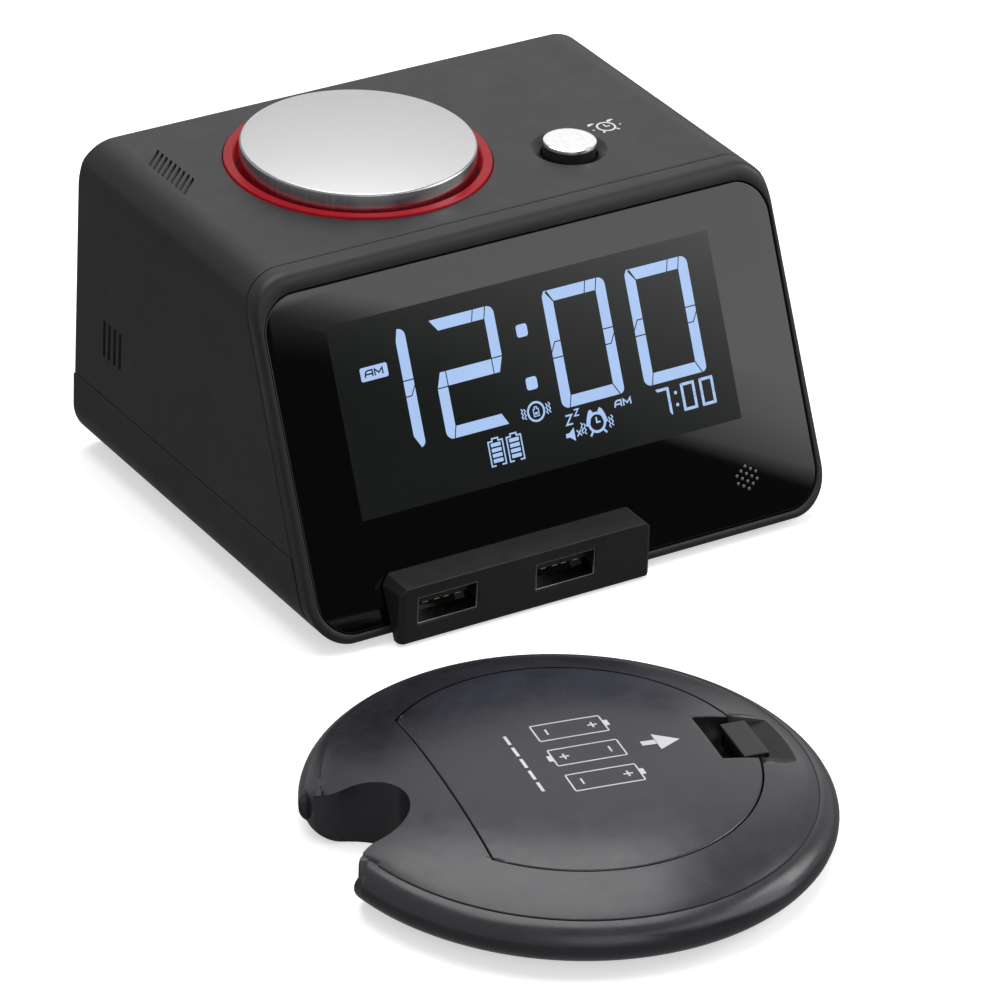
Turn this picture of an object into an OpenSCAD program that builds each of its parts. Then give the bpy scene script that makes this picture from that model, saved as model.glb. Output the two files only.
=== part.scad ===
// Bedside alarm clock with a sloping display, two charging sockets and a
// separate battery shaker that goes under the pillow. Millimetres, +Z up.
// The display faces -Y. The origin is the middle of the footprint, on the table.

/* [Clock case] */
// Width of the case at its sides
case_w = 114.3; // [95:0.1:140]
// Depth from the foot of the display face to the rear wall
case_d = 93; // [82:0.5:115]
// Height of the flat top above the table
case_h = 64.8; // [60:0.1:80]
// Radius of the long edges of the case
edge_r = 8.3; // [4:0.1:12]
// Wall of the case shells
case_wall = 2.2; // [1.6:0.1:3]
// Height of the joint between the upper housing and the base
parting_z = 16.3; // [14:0.1:20]
// Lean of the display face back from the vertical, in degrees
lean = 24.4; // [18:0.1:28]
// Depth of the front bezel, square to the display face
bezel_t = 3.5; // [3:0.1:5]

/* [Display] */
// Width of the black lens
lens_w = 110.6; // [90:0.1:136]
// Height of the lens along the slope
lens_h = 63.9; // [58:0.1:80]
// Distance from the foot of the face up to the lens
lens_v = 2.17; // [1.5:0.01:4]
// Corner radius of the lens
lens_r = 7.5; // [3:0.1:10]
// Thickness of the lens
lens_t = 1.35; // [1:0.05:2]
// Lens face below the rim of the bezel
lens_sink = 0.25; // [0.1:0.05:0.6]
// Width of the display glass
lcd_w = 87.6; // [70:0.1:90]
// Height of the display glass
lcd_h = 40.2; // [30:0.1:42]
// Height of the middle of the display glass up the slope
lcd_v = 40.1; // [38:0.1:44]
// Offset of the display glass from the middle of the case
lcd_u = -0.9; // [-3:0.1:3]

/* [Knob] */
// Diameter of the big knob
knob_d = 45; // [36:0.1:45.2]
// Height of the knob above the case top
knob_rise = 3.6; // [2.5:0.1:8]
// Knob centre, left or right of the middle of the case
knob_x = -12.6; // [-18:0.1:0]
// Knob centre behind the foot of the face
knob_y = 63.5; // [60:0.1:63.6]
// Width of the light ring
ring_w = 2; // [1.2:0.1:3]
// Dark gap between the knob and the light ring
ring_gap = 0.9; // [0.4:0.1:1.5]
// Travel of the knob when it is pressed
knob_travel = 1.2; // [0.6:0.1:1.4]
// Diameter of the encoder shaft
shaft_d = 6; // [5:0.5:7]

/* [Alarm button] */
// Diameter of the alarm button
button_d = 10.3; // [8:0.1:12]
// Diameter of the dished recess round the button
dish_d = 14.6; // [13:0.1:18]
// Depth of the dished recess
dish_depth = 1.2; // [0.6:0.1:1.4]
// Button centre, right of the middle of the case
button_x = 25.2; // [22:0.1:28]
// Button centre behind the foot of the face
button_y = 48.6; // [46:0.1:52]
// Travel of the button
button_travel = 1.0; // [0.5:0.1:1.1]

/* [Charging sockets] */
// Width of the ledge at its front face
ledge_w = 55; // [50:0.5:64]
// Middle of the ledge from the middle of the case
ledge_x = -13.8; // [-16:0.1:-8]
// Reach of the ledge in front of the foot of the face
ledge_reach = 2.6; // [2:0.1:5]
// Height of the ledge's front edge above the table
ledge_top = 12.1; // [11.6:0.1:14]
// Clear width of a socket
socket_w = 12.5; // [12.5:0.1:12.9]
// Clear height of a socket
socket_h = 5.12; // [5.12:0.01:5.3]
// Sheet thickness of a socket shell
socket_t = 0.35; // [0.2:0.05:0.5]
// Height of the socket centres above the table
socket_z = 6.9; // [6.8:0.1:7.2]
// Spacing of the two sockets
socket_pitch = 25.7; // [20:0.1:28]
// Middle between the sockets from the middle of the case
socket_x = -18.25; // [-20:0.05:-12]

/* [Shaker] */
// Overall diameter of the shaker
shaker_d = 95; // [92:0.5:116]
// Thickness of the shaker
shaker_h = 15.2; // [15:0.1:20]
// Wall of the shaker shells
shaker_wall = 1.6; // [1.2:0.1:2]
// Diameter of the battery door
door_d = 67.8; // [64:0.1:70]
// Distance of the door's straight hinge edge from the centre
door_chord = 24; // [22:0.1:26]
// Radius of the through notch in the rim
notch_r = 8.6; // [6:0.1:10]
// Distance of the notch's centre from the shaker's centre
notch_at = 39.4; // [38:0.1:43]
// Shaker centre, left or right of the middle of the case
shaker_x = -47.5; // [-60:0.5:0]
// Shaker centre in front of the foot of the face
shaker_y = -69.5; // [-100:0.5:-66]
// Turn of the shaker on the table, in degrees
shaker_turn = -11; // [-45:1:45]

/* [Fits] */
// Running clearance between a shaft and its bearing, on the radius
run_fit = 0.05; // [0.01:0.01:0.1]
// Gap between pieces that move past each other
move_gap = 0.3; // [0.2:0.05:0.4]
// Gap between fixed pieces that are assembled together
fixed_gap = 0.15; // [0.05:0.05:0.3]

/* [Hidden] */
$fn = 96;

// Small overlap that makes a cut run clear of the face it starts on
cut = 1;
// Larger than any part of the object
far = 400;

// Levels of the case
foot_h = 1.5;
floor_t = 2;
floor_top = foot_h + floor_t;
top_under = case_h - case_wall;
foot_recess = 0.4;

// The whole set stands on the middle of its footprint
shaker_r = shaker_d / 2;
// The notch takes away the shaker's leftmost edge, so the box ends beside it
rim_left_angle = 5.2;
rim_left = shaker_x - shaker_r * cos(rim_left_angle);
set_x = (rim_left + case_w / 2) / 2;
set_y = (shaker_y - shaker_r + case_d) / 2;

// Display stack, as depths behind the face
lens_back = lens_sink + lens_t;
lcd_t = 2;
backlight_t = 3.5;
board_t = 1.6;
lcd_back = lens_back + lcd_t;
backlight_back = lcd_back + backlight_t;
main_board_back = backlight_back + board_t;
board_side = 5.6;
board_trim = 0.6;
board_screw_out = 2.8;
board_screw_in = 3;
board_screw_r = 1.1;
board_screw_head_r = 2.1;
board_screw_head_t = 1.5;
board_screw_l = 4;
board_post_r = 2.6;

// Knob and encoder
knob_r = knob_d / 2;
ring_in = knob_r + ring_gap;
ring_out = ring_in + ring_w;
ring_proud = 0.4;
ring_flange = 1.7;
ring_flange_t = 1.6;
well_t = 1.2;
well_floor = top_under - ring_flange_t;
well_bottom = well_floor - well_t;
knob_clear = 0.4;
knob_under = well_floor + knob_travel + knob_clear;
knob_top = case_h + knob_rise;
knob_wall = 1.8;
knob_edge = 0.5;
hub_r = 5.5;
shaft_r = shaft_d / 2;
rotor_in = shaft_r + run_fit;
sleeve_t = 0.55;
rotor_out = rotor_in + sleeve_t;
bushing_in = rotor_out + run_fit;
bushing_out = bushing_in + sleeve_t;
knob_board_z = 49;
knob_board_top = knob_board_z + board_t;
encoder_w = 14;
encoder_h = 7;
encoder_floor = 0.8;
encoder_clear = 1.1;
rotor_lift = 0.2;
bushing_top = well_bottom + 0.8;
shaft_foot = knob_board_top + encoder_floor + knob_travel + encoder_clear;
led_count = 6;
led_ring_r = 20;
led_turn = 30;
led_size = [3, 3, 1.6];
knob_board_at = [-36, 43];
knob_board_w = 70;
knob_board_l = case_d - 48;

// Alarm button
button_r = button_d / 2;
button_hole_r = button_r + move_gap;
button_rise = 1.9;
button_cap_t = 1.4;
button_flange = 1.2;
button_flange_t = 1;
button_edge = 0.45;
plunger_drop = 3.8;
button_foot = top_under - plunger_drop;
switch_w = 6.2;
switch_h = 3.5;
switch_pin_r = 1.75;

// Charging ledge
ledge_z0 = 0.5;
ledge_flare = 1.2;
ledge_chamfer = 2.6;
ledge_front_chamfer = 0.8;
ledge_low_chamfer = 0.8;
shell_w = socket_w + 2 * socket_t;
shell_h = socket_h + 2 * socket_t;
shell_l = 14;
shell_sink = 0.2;
neck_wall = 0.7;
neck_floor_t = 0.35;
neck_roof_t = 0.4;
neck_end = 9;
tongue_w = 11.1;
tongue_t = 1.9;
tongue_back = 3.4;
tongue_lift = 0.2;
tongue_sink = 2.2;
usb_board_l = 16;
usb_board_t = 1.2;
usb_board_side = 2;
usb_board_gap = 0.4;

// Speaker, inlet, cell and screws
speaker_y = 66;
speaker_z = 31;
speaker_r = 15;
speaker_rim_t = 1.6;
speaker_depth = 8;
speaker_magnet_r = 9;
speaker_magnet_t = 6;
speaker_step = 1.5;
speaker_skin = 1.2;
speaker_neck_r = 10;
cone_depth = 5;
cone_skin = 0.6;
cone_r = speaker_r - 3.4;
cone_neck_r = 4;
jack_x = 30;
jack_z = 10;
jack_w = 9;
jack_h = 11;
jack_l = 14;
jack_bore_r = 3.15;
jack_bore_l = 9.5;
jack_pin_r = 1.05;
jack_hole_r = 4.2;
cell_x = 26;
cell_y = 58;
cell_r = 10;
cell_t = 3.2;
cell_lift = 0.4;
holder_wall = 1.6;
cell_door_r = 12.2;
cell_door_t = 1.7;
coin_slot_l = 16;
coin_slot_w = 2;
coin_slot_depth = 0.8;
foot_r = 5;
foot_x = case_w / 2 - 16;
foot_front_y = 16;
foot_rear_y = case_d - 17;
screw_x = case_w / 2 - 9.2;
screw_front_y = 38;
screw_rear_y = case_d - 6;
screw_r = 1.25;
screw_head_r = 2.7;
screw_head_z = 3.2;
screw_head_t = 1.8;
screw_top = 24;
screw_slot_l = 3.2;
screw_slot_w = 0.7;
screw_end_gap = 0.5;
radio_at = [18, 72];
radio_size = [10, 12, 2];
boss_r = 3.6;

// Vents
slot_w = 0.6;
grille_pitch = 1.65;
grille_count = 9;
grille_slot_l = 12;
grille_x0 = 8.2;
grille_x1 = 13;
grille_y = case_d - 18.2;
vent_ys = [-17.5, -15.5, -13.4, -11.5];
vent_w = 0.95;
vent_z0 = 25;
vent_z1 = 32.7;

// Shaker shell, as a profile round its axis
rim_r = 11;
rim_z = 5.5;
rim_core = shaker_r - rim_r;
seam_t = 45.9;
seam_z = rim_z + rim_z * sin(seam_t);
seam_r = rim_core + rim_r * cos(seam_t);
dome_drop = shaker_h - seam_z;
dome_power = 3.4;
arc_steps = 16;
door_r = door_d / 2;
lip_r = 4.8;
notch_y = -0.9;

// Battery bay
aaa_r = 5.25;
aaa_l = 43.5;
aaa_nub_r = 1.9;
aaa_nub_l = 0.9;
aaa_pitch = 11;
aaa_z = shaker_wall + aaa_r + 0.3;
tray_wall = 1.2;
tray_w = 3 * aaa_pitch + 0.6;
tray_l = 50.5;
tray_top = 9.5;
spring_l = 3.5;
spring_r = 3.4;
spring_taper = 1.4;
spring_tube_r = 1.2;
plate_t = 0.4;
plate_w = 9;
nub_overlap = 0.2;

// Door and latch
latch_w = 14.4;
latch_gap_x = 25.8;
latch_out_x = 40.9;
ramp_z = shaker_h - 4.4;
ramp_t = 1.5;
well_depth_z = 6;
ramp_side = 2;
ramp_end = 3;
door_t = shaker_wall;
door_seam_gap = 0.5;
well_draw = 0.9;
well_wall = 1.4;
finger_floor_t = 1.2;
hook_y = 13.5;
hook_w = 8;
hook_reach = 1.4;
hook_t = 1.2;
hook_z = dome_z(norm([door_chord + hook_reach, hook_y + hook_w / 2])) - shaker_wall
    - move_gap - hook_t;
leaf_x = 31.8;
leaf_t = 1.2;
latch_tab_w = 11.5;
latch_tab_l = 5;
latch_tab_t = 1.3;
latch_foot_z = well_depth_z + 1.5;
latch_top_z = ramp_z + 1.9;

// Vibration motor
motor_r = 4;
motor_y = 32.5;
motor_z = 6;
motor_x0 = -18;
motor_x1 = 1;
motor_shaft_r = 1;
motor_end = 4;
cradle_l = 12;
cradle_wall = 1;
weight_x0 = 4.5;
weight_x1 = 12;
weight_hub_r = 2;
shaft_end = 1;

// Board, bosses and screws of the shaker
shaker_board_at = [-17, -39];
shaker_board_size = [34, 11, 1.2];
shaker_board_z = 4;
shaker_post_x = 14;
shaker_post_y = -33.5;
shaker_post_r = 2.5;
shaker_boss_r = 3.4;
shaker_head_r = 2.4;
shaker_head_z = 1.2;
shaker_seat_z = 2.8;
shaker_screw_r = 1.1;
shaker_thread_l = 1;
shaker_bore_l = 1.4;
seam_lip = 1.2;
cavity_angle = 45;
shaker_screw_at = 38.2;
shaker_screw_angles = [40, 140, 220, 320];

// Half space of the case behind a plane that is this deep under the face
module behind_face(depth) {
    translate([0, 0, foot_h]) rotate([90 - lean, 0, 0])
        translate([-far / 2, -far / 2, -depth - far]) cube([far, far, far]);
}

// Frame of the display face: x across, y up the slope, z out of the face
module on_face() {
    translate([0, 0, foot_h]) rotate([90 - lean, 0, 0]) children();
}

module along_y(y0, y1) {
    translate([0, y1, 0]) rotate([90, 0, 0]) linear_extrude(y1 - y0) children();
}

module rounded_rect(w, h, r) {
    translate([-w / 2, r]) square([w, h - 2 * r]);
    translate([r - w / 2, 0]) square([w - 2 * r, h]);
    for (x = [r - w / 2, w / 2 - r], y = [r, h - r]) translate([x, y]) circle(r);
}

// Solid bar with the case's outline seen from the front
module case_bar(y0, y1) {
    along_y(y0, y1) translate([0, foot_h]) rounded_rect(case_w, case_h - foot_h, edge_r);
}

// The room inside the case, in front of the rear wall
module case_cavity() {
    along_y(-cut, case_d - case_wall) translate([0, floor_top])
        rounded_rect(case_w - 2 * case_wall, top_under - floor_top, edge_r - case_wall);
}

module at_knob(z) {
    translate([knob_x, knob_y, z]) children();
}

module at_button(z) {
    translate([button_x, button_y, z]) children();
}

module at_case_screws() {
    for (x = [-screw_x, screw_x], y = [screw_front_y, screw_rear_y])
        translate([x, y, 0]) children();
}

// Nine slanting slots in a strip near the left rear corner of the top
module top_grille() {
    intersection() {
        translate([-case_w / 2 + grille_x0, 0, 0])
            cube([grille_x1 - grille_x0, far, far]);
        for (i = [0 : grille_count - 1])
            translate([-case_w / 2 + (grille_x0 + grille_x1) / 2,
                       grille_y + (i - (grille_count - 1) / 2) * grille_pitch, case_h])
                rotate([0, 0, 45]) cube([grille_slot_l, slot_w, 2 * case_wall + 2 * cut], center = true);
    }
}

module side_vent() {
    for (y = vent_ys)
        translate([-case_w / 2 - cut, case_d + y - vent_w / 2, vent_z0])
            cube([case_wall + 2 * cut, vent_w, vent_z1 - vent_z0]);
}

module upper_housing() {
    color("#232326") difference() {
        intersection() {
            union() {
                difference() {
                    case_bar(0, case_d);
                    case_cavity();
                }
                at_case_screws() translate([0, 0, parting_z])
                    cylinder(r = boss_r, h = case_h - case_wall / 2 - parting_z);
            }
            behind_face(bezel_t + fixed_gap);
            translate([-far / 2, -far / 2, parting_z]) cube([far, far, far]);
        }
        at_knob(top_under - cut) cylinder(r = ring_out + fixed_gap, h = case_wall + 2 * cut);
        at_button(top_under - cut) cylinder(r = button_hole_r, h = case_wall + 2 * cut);
        at_button(case_h - dish_depth)
            cylinder(r1 = button_hole_r, r2 = dish_d / 2, h = dish_depth);
        at_case_screws() translate([0, 0, parting_z - cut])
            cylinder(r = screw_r, h = screw_top - parting_z + cut);
        top_grille();
        side_vent();
    }
}

module base_cover() {
    color("#1f1f22") difference() {
        intersection() {
            union() {
                difference() {
                    case_bar(0, case_d);
                    case_cavity();
                }
                at_case_screws() translate([0, 0, foot_h + floor_t / 2])
                    cylinder(r = boss_r, h = parting_z - foot_h - floor_t / 2);
            }
            behind_face(bezel_t + fixed_gap);
            translate([-far / 2, -far / 2, parting_z - far]) cube([far, far, far]);
        }
        at_case_screws() {
            translate([0, 0, foot_h - cut])
                cylinder(r = screw_head_r + move_gap, h = screw_head_z + screw_head_t - foot_h + cut);
            translate([0, 0, screw_head_z]) cylinder(r = screw_r + fixed_gap, h = parting_z);
        }
        translate([jack_x, case_d + cut, jack_z]) rotate([90, 0, 0])
            cylinder(r = jack_hole_r, h = case_wall + 2 * cut);
        translate([cell_x, cell_y, foot_h - cut])
            cylinder(r = cell_door_r + move_gap, h = case_wall + 2 * cut);
        at_feet() translate([0, 0, foot_h - cut])
            cylinder(r = foot_r + fixed_gap, h = foot_recess + cut);
    }
}

module at_feet() {
    for (x = [-foot_x, foot_x], y = [foot_front_y, foot_rear_y])
        translate([x, y, 0]) children();
}

module rubber_feet() {
    color("#151515") at_feet() cylinder(r = foot_r, h = foot_h + foot_recess);
}

module case_screws() {
    color("#8a8d90") at_case_screws() {
        difference() {
            translate([0, 0, screw_head_z]) cylinder(r = screw_head_r, h = screw_head_t);
            for (a = [0, 90]) rotate([0, 0, a])
                translate([-screw_slot_l / 2, -screw_slot_w / 2, screw_head_z - cut])
                    cube([screw_slot_l, screw_slot_w, 2 * cut]);
        }
        translate([0, 0, screw_head_z + screw_head_t])
            cylinder(r = screw_r, h = screw_top - screw_head_z - screw_head_t - screw_end_gap);
    }
}

// Outline of the lens, grown all round by extra
module lens_outline(extra) {
    translate([0, lens_v - extra])
        rounded_rect(lens_w + 2 * extra, lens_h + 2 * extra, lens_r + extra);
}

// Block that carries the sockets through the lens and the bezel
module neck_block(extra) {
    w = socket_pitch + shell_w + 2 * neck_wall;
    z0 = socket_z - shell_h / 2 - neck_floor_t;
    z1 = socket_z + shell_h / 2 + neck_roof_t;
    translate([socket_x - w / 2 - extra, -ledge_reach + cut, z0 - extra])
        cube([w + 2 * extra, neck_end + ledge_reach - cut, z1 - z0 + 2 * extra]);
}

module lcd_block(depth, extra, h) {
    on_face() translate([lcd_u - lcd_w / 2 - extra, lcd_v - lcd_h / 2 - extra, -depth])
        cube([lcd_w + 2 * extra, lcd_h + 2 * extra, h]);
}

module front_bezel() {
    color("#202023") difference() {
        union() {
            intersection() {
                case_bar(-cut, case_d);
                on_face() translate([-far / 2, -far / 2, -bezel_t]) cube([far, far, bezel_t]);
            }
            at_board_screws() translate([0, 0, board_t])
                cylinder(r = board_post_r, h = main_board_back - board_t - bezel_t + cut / 2);
        }
        at_board_screws() cylinder(r = board_screw_r, h = board_t + board_screw_l, $fn = 32);
        on_face() translate([0, 0, -lens_back]) linear_extrude(lens_back + cut)
            lens_outline(fixed_gap);
        lcd_block(bezel_t + cut, fixed_gap, bezel_t);
        neck_block(fixed_gap);
    }
}

module front_lens() {
    color("#08080a") difference() {
        on_face() translate([0, 0, -lens_back]) linear_extrude(lens_t) lens_outline(0);
        neck_block(fixed_gap);
    }
}

module lcd_panel() {
    color("#2c2f34") lcd_block(lcd_back, 0, lcd_t);
}

module lcd_backlight() {
    color("#dfe6f2") lcd_block(backlight_back, 0, backlight_t);
}

module at_board_screws() {
    on_face() for (x = [-1, 1], y = [-1, 1])
        translate([lcd_u + x * (lcd_w / 2 + board_screw_out),
                   lcd_v + y * (lcd_h / 2 - board_screw_in), -main_board_back])
            children();
}

module main_board() {
    color("#1d5b35") difference() {
        on_face() translate([lcd_u - lcd_w / 2 - board_side, lcd_v - lcd_h / 2 + board_trim,
                             -main_board_back])
            cube([lcd_w + 2 * board_side, lcd_h - 2 * board_trim, board_t]);
        at_board_screws() translate([0, 0, -cut])
            cylinder(r = board_screw_r, h = board_t + 2 * cut, $fn = 32);
    }
}

module board_screws() {
    color("#b9bcc0") at_board_screws() {
        translate([0, 0, -board_screw_head_t])
            cylinder(r = board_screw_head_r, h = board_screw_head_t, $fn = 32);
        cylinder(r = board_screw_r, h = board_t + board_screw_l, $fn = 32);
    }
}

module knob_cap() {
    color("#c9ccd0") difference() {
        at_knob(knob_under) rotate_extrude() polygon([
            [0, 0], [knob_r, 0], [knob_r, knob_top - knob_under - knob_edge],
            [knob_r - knob_edge, knob_top - knob_under], [0, knob_top - knob_under]
        ]);
        difference() {
            at_knob(knob_under - cut)
                cylinder(r = knob_r - knob_wall, h = knob_top - knob_under - knob_wall + cut);
            at_knob(knob_under - 2 * cut) cylinder(r = hub_r, h = knob_top);
        }
        at_knob(knob_under - cut)
            cylinder(r = shaft_r, h = knob_top - knob_under - knob_wall + cut);
    }
}

module encoder_shaft() {
    color("#9a9da1") at_knob(shaft_foot)
        cylinder(r = shaft_r, h = knob_top - knob_wall - shaft_foot);
}

module encoder_rotor() {
    color("#c4a04a") at_knob(knob_board_top + encoder_floor + rotor_lift) difference() {
        cylinder(r = rotor_out, h = bushing_top - knob_board_top - encoder_floor);
        translate([0, 0, -cut]) cylinder(r = rotor_in, h = bushing_top);
    }
}

module encoder_body() {
    color("#6f7276") difference() {
        union() {
            at_knob(knob_board_top + encoder_h / 2)
                cube([encoder_w, encoder_w, encoder_h], center = true);
            at_knob(knob_board_top) cylinder(r = bushing_out, h = bushing_top - knob_board_top);
        }
        at_knob(knob_board_top + encoder_floor) cylinder(r = bushing_in, h = case_h);
    }
}

module ring_light() {
    color("#e01822") at_knob(0) difference() {
        union() {
            translate([0, 0, well_floor])
                cylinder(r = ring_out, h = case_h + ring_proud - well_floor);
            translate([0, 0, well_floor]) cylinder(r = ring_out + ring_flange, h = ring_flange_t);
        }
        translate([0, 0, well_floor - cut]) cylinder(r = ring_in, h = case_h);
    }
}

module ring_leds() {
    color("#f4e9c8") at_knob(knob_board_top + led_size[2] / 2)
        for (i = [0 : led_count - 1]) rotate([0, 0, led_turn + i * 360 / led_count])
            translate([led_ring_r, 0, 0]) cube(led_size, center = true);
}

module knob_well() {
    color("#19191b") at_knob(well_bottom) difference() {
        cylinder(r = ring_out + ring_flange, h = well_t);
        translate([0, 0, -cut]) cylinder(r = bushing_out + fixed_gap, h = well_t + 2 * cut);
    }
}

module knob_board() {
    color("#1d5b35") translate([knob_board_at.x, knob_board_at.y, knob_board_z])
        cube([knob_board_w, knob_board_l, board_t]);
}

module button_plunger() {
    color("#1a1a1c") at_button(button_foot) {
        cylinder(r = button_r, h = case_h + button_rise - button_cap_t - button_foot);
        translate([0, 0, top_under - move_gap - button_flange_t - button_foot])
            cylinder(r = button_r + button_flange, h = button_flange_t);
    }
}

module button_cap() {
    color("#d5d7da") at_button(case_h + button_rise - button_cap_t) rotate_extrude() polygon([
        [0, 0], [button_r, 0], [button_r, button_cap_t - button_edge],
        [button_r - button_edge, button_cap_t], [0, button_cap_t]
    ]);
}

module button_switch() {
    color("#303236") at_button(knob_board_top) {
        translate([0, 0, switch_h / 2]) cube([switch_w, switch_w, switch_h], center = true);
        cylinder(r = switch_pin_r,
                 h = button_foot - button_travel - move_gap / 2 - knob_board_top, $fn = 32);
    }
}

module socket_block(i, w, h, y0, y1) {
    translate([socket_x + i * socket_pitch / 2 - w / 2, y0, socket_z - h / 2])
        cube([w, y1 - y0, h]);
}

module usb_ledge() {
    front_w = ledge_w;
    back_w = ledge_w + 2 * ledge_flare;
    c = ledge_chamfer;
    f = ledge_front_chamfer;
    low = ledge_low_chamfer;
    color("#222225") difference() {
        union() {
            difference() {
                intersection() {
                    along_y(-ledge_reach, case_d / 4) translate([ledge_x, 0]) polygon([
                        [-back_w / 2 + low, ledge_z0], [back_w / 2 - low, ledge_z0],
                        [back_w / 2, ledge_z0 + low], [back_w / 2, ledge_top - c],
                        [back_w / 2 - c, ledge_top], [-back_w / 2 + c, ledge_top],
                        [-back_w / 2, ledge_top - c], [-back_w / 2, ledge_z0 + low]
                    ]);
                    linear_extrude(far) translate([ledge_x, 0]) polygon([
                        [-front_w / 2 + f, -ledge_reach], [front_w / 2 - f, -ledge_reach],
                        [front_w / 2, -ledge_reach + f], [back_w / 2, case_d / 4],
                        [-back_w / 2, case_d / 4], [-front_w / 2, -ledge_reach + f]
                    ]);
                }
                behind_face(0);
            }
            neck_block(0);
        }
        for (i = [-1, 1]) socket_block(i, shell_w, shell_h, -ledge_reach - cut, neck_end + cut);
    }
}

module usb_shell(i) {
    color("#c9cbce") difference() {
        socket_block(i, shell_w, shell_h, -ledge_reach + shell_sink,
                     -ledge_reach + shell_sink + shell_l);
        socket_block(i, socket_w, socket_h, -ledge_reach - cut,
                     -ledge_reach + shell_l + 2 * cut);
    }
}

module usb_shell_left() {
    usb_shell(-1);
}

module usb_shell_right() {
    usb_shell(1);
}

module usb_tongue(i) {
    y_end = -ledge_reach + shell_sink + shell_l;
    color("#101012") {
        translate([0, 0, tongue_lift + tongue_t / 2])
            socket_block(i, tongue_w, tongue_t, -ledge_reach + tongue_sink,
                         y_end - tongue_back);
        socket_block(i, socket_w, socket_h, y_end - tongue_back, y_end);
    }
}

module usb_tongue_left() {
    usb_tongue(-1);
}

module usb_tongue_right() {
    usb_tongue(1);
}

module usb_board() {
    w = socket_pitch + shell_w + 2 * usb_board_side;
    color("#1d5b35") translate([socket_x - w / 2, neck_end + usb_board_gap, socket_z + shell_h / 2])
        cube([w, usb_board_l, usb_board_t]);
}

module at_speaker(depth) {
    translate([-case_w / 2 + case_wall + depth, speaker_y, speaker_z])
        rotate([0, 90, 0]) children();
}

module speaker_basket() {
    color("#3a3c40") at_speaker(0) difference() {
        union() {
            cylinder(r = speaker_r, h = speaker_rim_t);
            cylinder(r1 = speaker_r - speaker_step, r2 = speaker_neck_r, h = speaker_depth);
        }
        translate([0, 0, -cut / 100])
            cylinder(r1 = speaker_r - speaker_step - speaker_skin,
                     r2 = speaker_neck_r - speaker_step - speaker_skin,
                     h = speaker_depth - speaker_skin);
    }
}

module speaker_cone() {
    color("#17181a") at_speaker(cone_skin) difference() {
        cylinder(r1 = cone_r, r2 = cone_neck_r, h = cone_depth);
        translate([0, 0, -cut / 100])
            cylinder(r1 = cone_r - cone_skin, r2 = cone_neck_r - cone_skin,
                     h = cone_depth - cone_skin);
    }
}

module speaker_magnet() {
    color("#7c7f83") at_speaker(speaker_depth)
        cylinder(r = speaker_magnet_r, h = speaker_magnet_t);
}

module dc_jack() {
    y1 = case_d - case_wall;
    color("#151517") difference() {
        translate([jack_x - jack_w / 2, y1 - jack_l, jack_z - jack_h / 2])
            cube([jack_w, jack_l, jack_h]);
        translate([jack_x, y1 + cut, jack_z]) rotate([90, 0, 0])
            cylinder(r = jack_bore_r, h = jack_bore_l + cut);
    }
}

module dc_pin() {
    y1 = case_d - case_wall;
    color("#d2b15c") translate([jack_x, y1 - 1, jack_z]) rotate([90, 0, 0])
        cylinder(r = jack_pin_r, h = jack_bore_l - 1);
}

module radio_module() {
    color("#2a5f8a") translate([radio_at.x, radio_at.y, knob_board_top])
        cube(radio_size);
}

module coin_cell() {
    color("#c8cacc") translate([cell_x, cell_y, floor_top + cell_lift])
        cylinder(r = cell_r, h = cell_t);
}

module cell_holder() {
    color("#202226") translate([cell_x, cell_y, floor_top]) difference() {
        cylinder(r = cell_door_r + holder_wall, h = cell_t + holder_wall);
        translate([0, 0, -cut]) cylinder(r = cell_r + fixed_gap, h = cell_t + cell_lift + cut);
    }
}

module cell_door() {
    color("#1f1f22") translate([cell_x, cell_y, foot_h]) difference() {
        cylinder(r = cell_door_r, h = cell_door_t);
        translate([-coin_slot_l / 2, -coin_slot_w / 2, -cut])
            cube([coin_slot_l, coin_slot_w, cut + coin_slot_depth]);
    }
}

// Height of the shaker's domed side at a distance r from its axis
function dome_z(r) = shaker_h - dome_drop * pow(r / seam_r, dome_power);

// Points of the rim's ellipse from one angle to another, drawn in by inset
function rim_arc(t0, t1, inset) = [
    for (i = [0 : arc_steps]) let (t = t0 + (t1 - t0) * i / arc_steps)
        [rim_core + (rim_r - inset) * cos(t), rim_z + (rim_z - inset) * sin(t)]
];

function dome_arc(r0, r1, inset) = [
    for (i = [0 : arc_steps]) let (r = r0 + (r1 - r0) * i / arc_steps)
        [r, max(dome_z(r) - inset, seam_z)]
];

module place_shaker() {
    translate([shaker_x, shaker_y, 0]) rotate([0, 0, shaker_turn]) children();
}

// The notch through the rim, with rounded lips, grown into the shell by grow
module notch_2d(grow) {
    mouth = notch_r + lip_r;
    translate([-notch_at, notch_y]) {
        circle(notch_r + grow);
        difference() {
            translate([-shaker_r, -mouth]) square([shaker_r, 2 * mouth]);
            for (s = [-1, 1]) translate([0, s * mouth]) circle(lip_r - grow);
        }
    }
}

module door_2d(gap) {
    intersection() {
        circle(door_r - gap);
        translate([-door_chord + gap, -door_r]) square([2 * door_r, 2 * door_r]);
    }
}

module lower_solid() {
    rotate_extrude() polygon(concat([[0, seam_z], [0, 0]], rim_arc(-90, seam_t, 0)));
}

module upper_solid() {
    rotate_extrude() polygon(concat([[0, seam_z]], dome_arc(seam_r, 0, 0)));
}

// The room inside the lower shell
module lower_cavity() {
    rotate_extrude() polygon(concat(
        [[0, seam_z + cut], [0, shaker_wall]], rim_arc(-90, cavity_angle, shaker_wall),
        [[rim_core + (rim_r - shaker_wall) * cos(cavity_angle), seam_z + cut]]
    ));
}

module at_shaker_screws() {
    for (a = shaker_screw_angles) rotate([0, 0, a]) translate([shaker_screw_at, 0, 0]) children();
}

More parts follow.
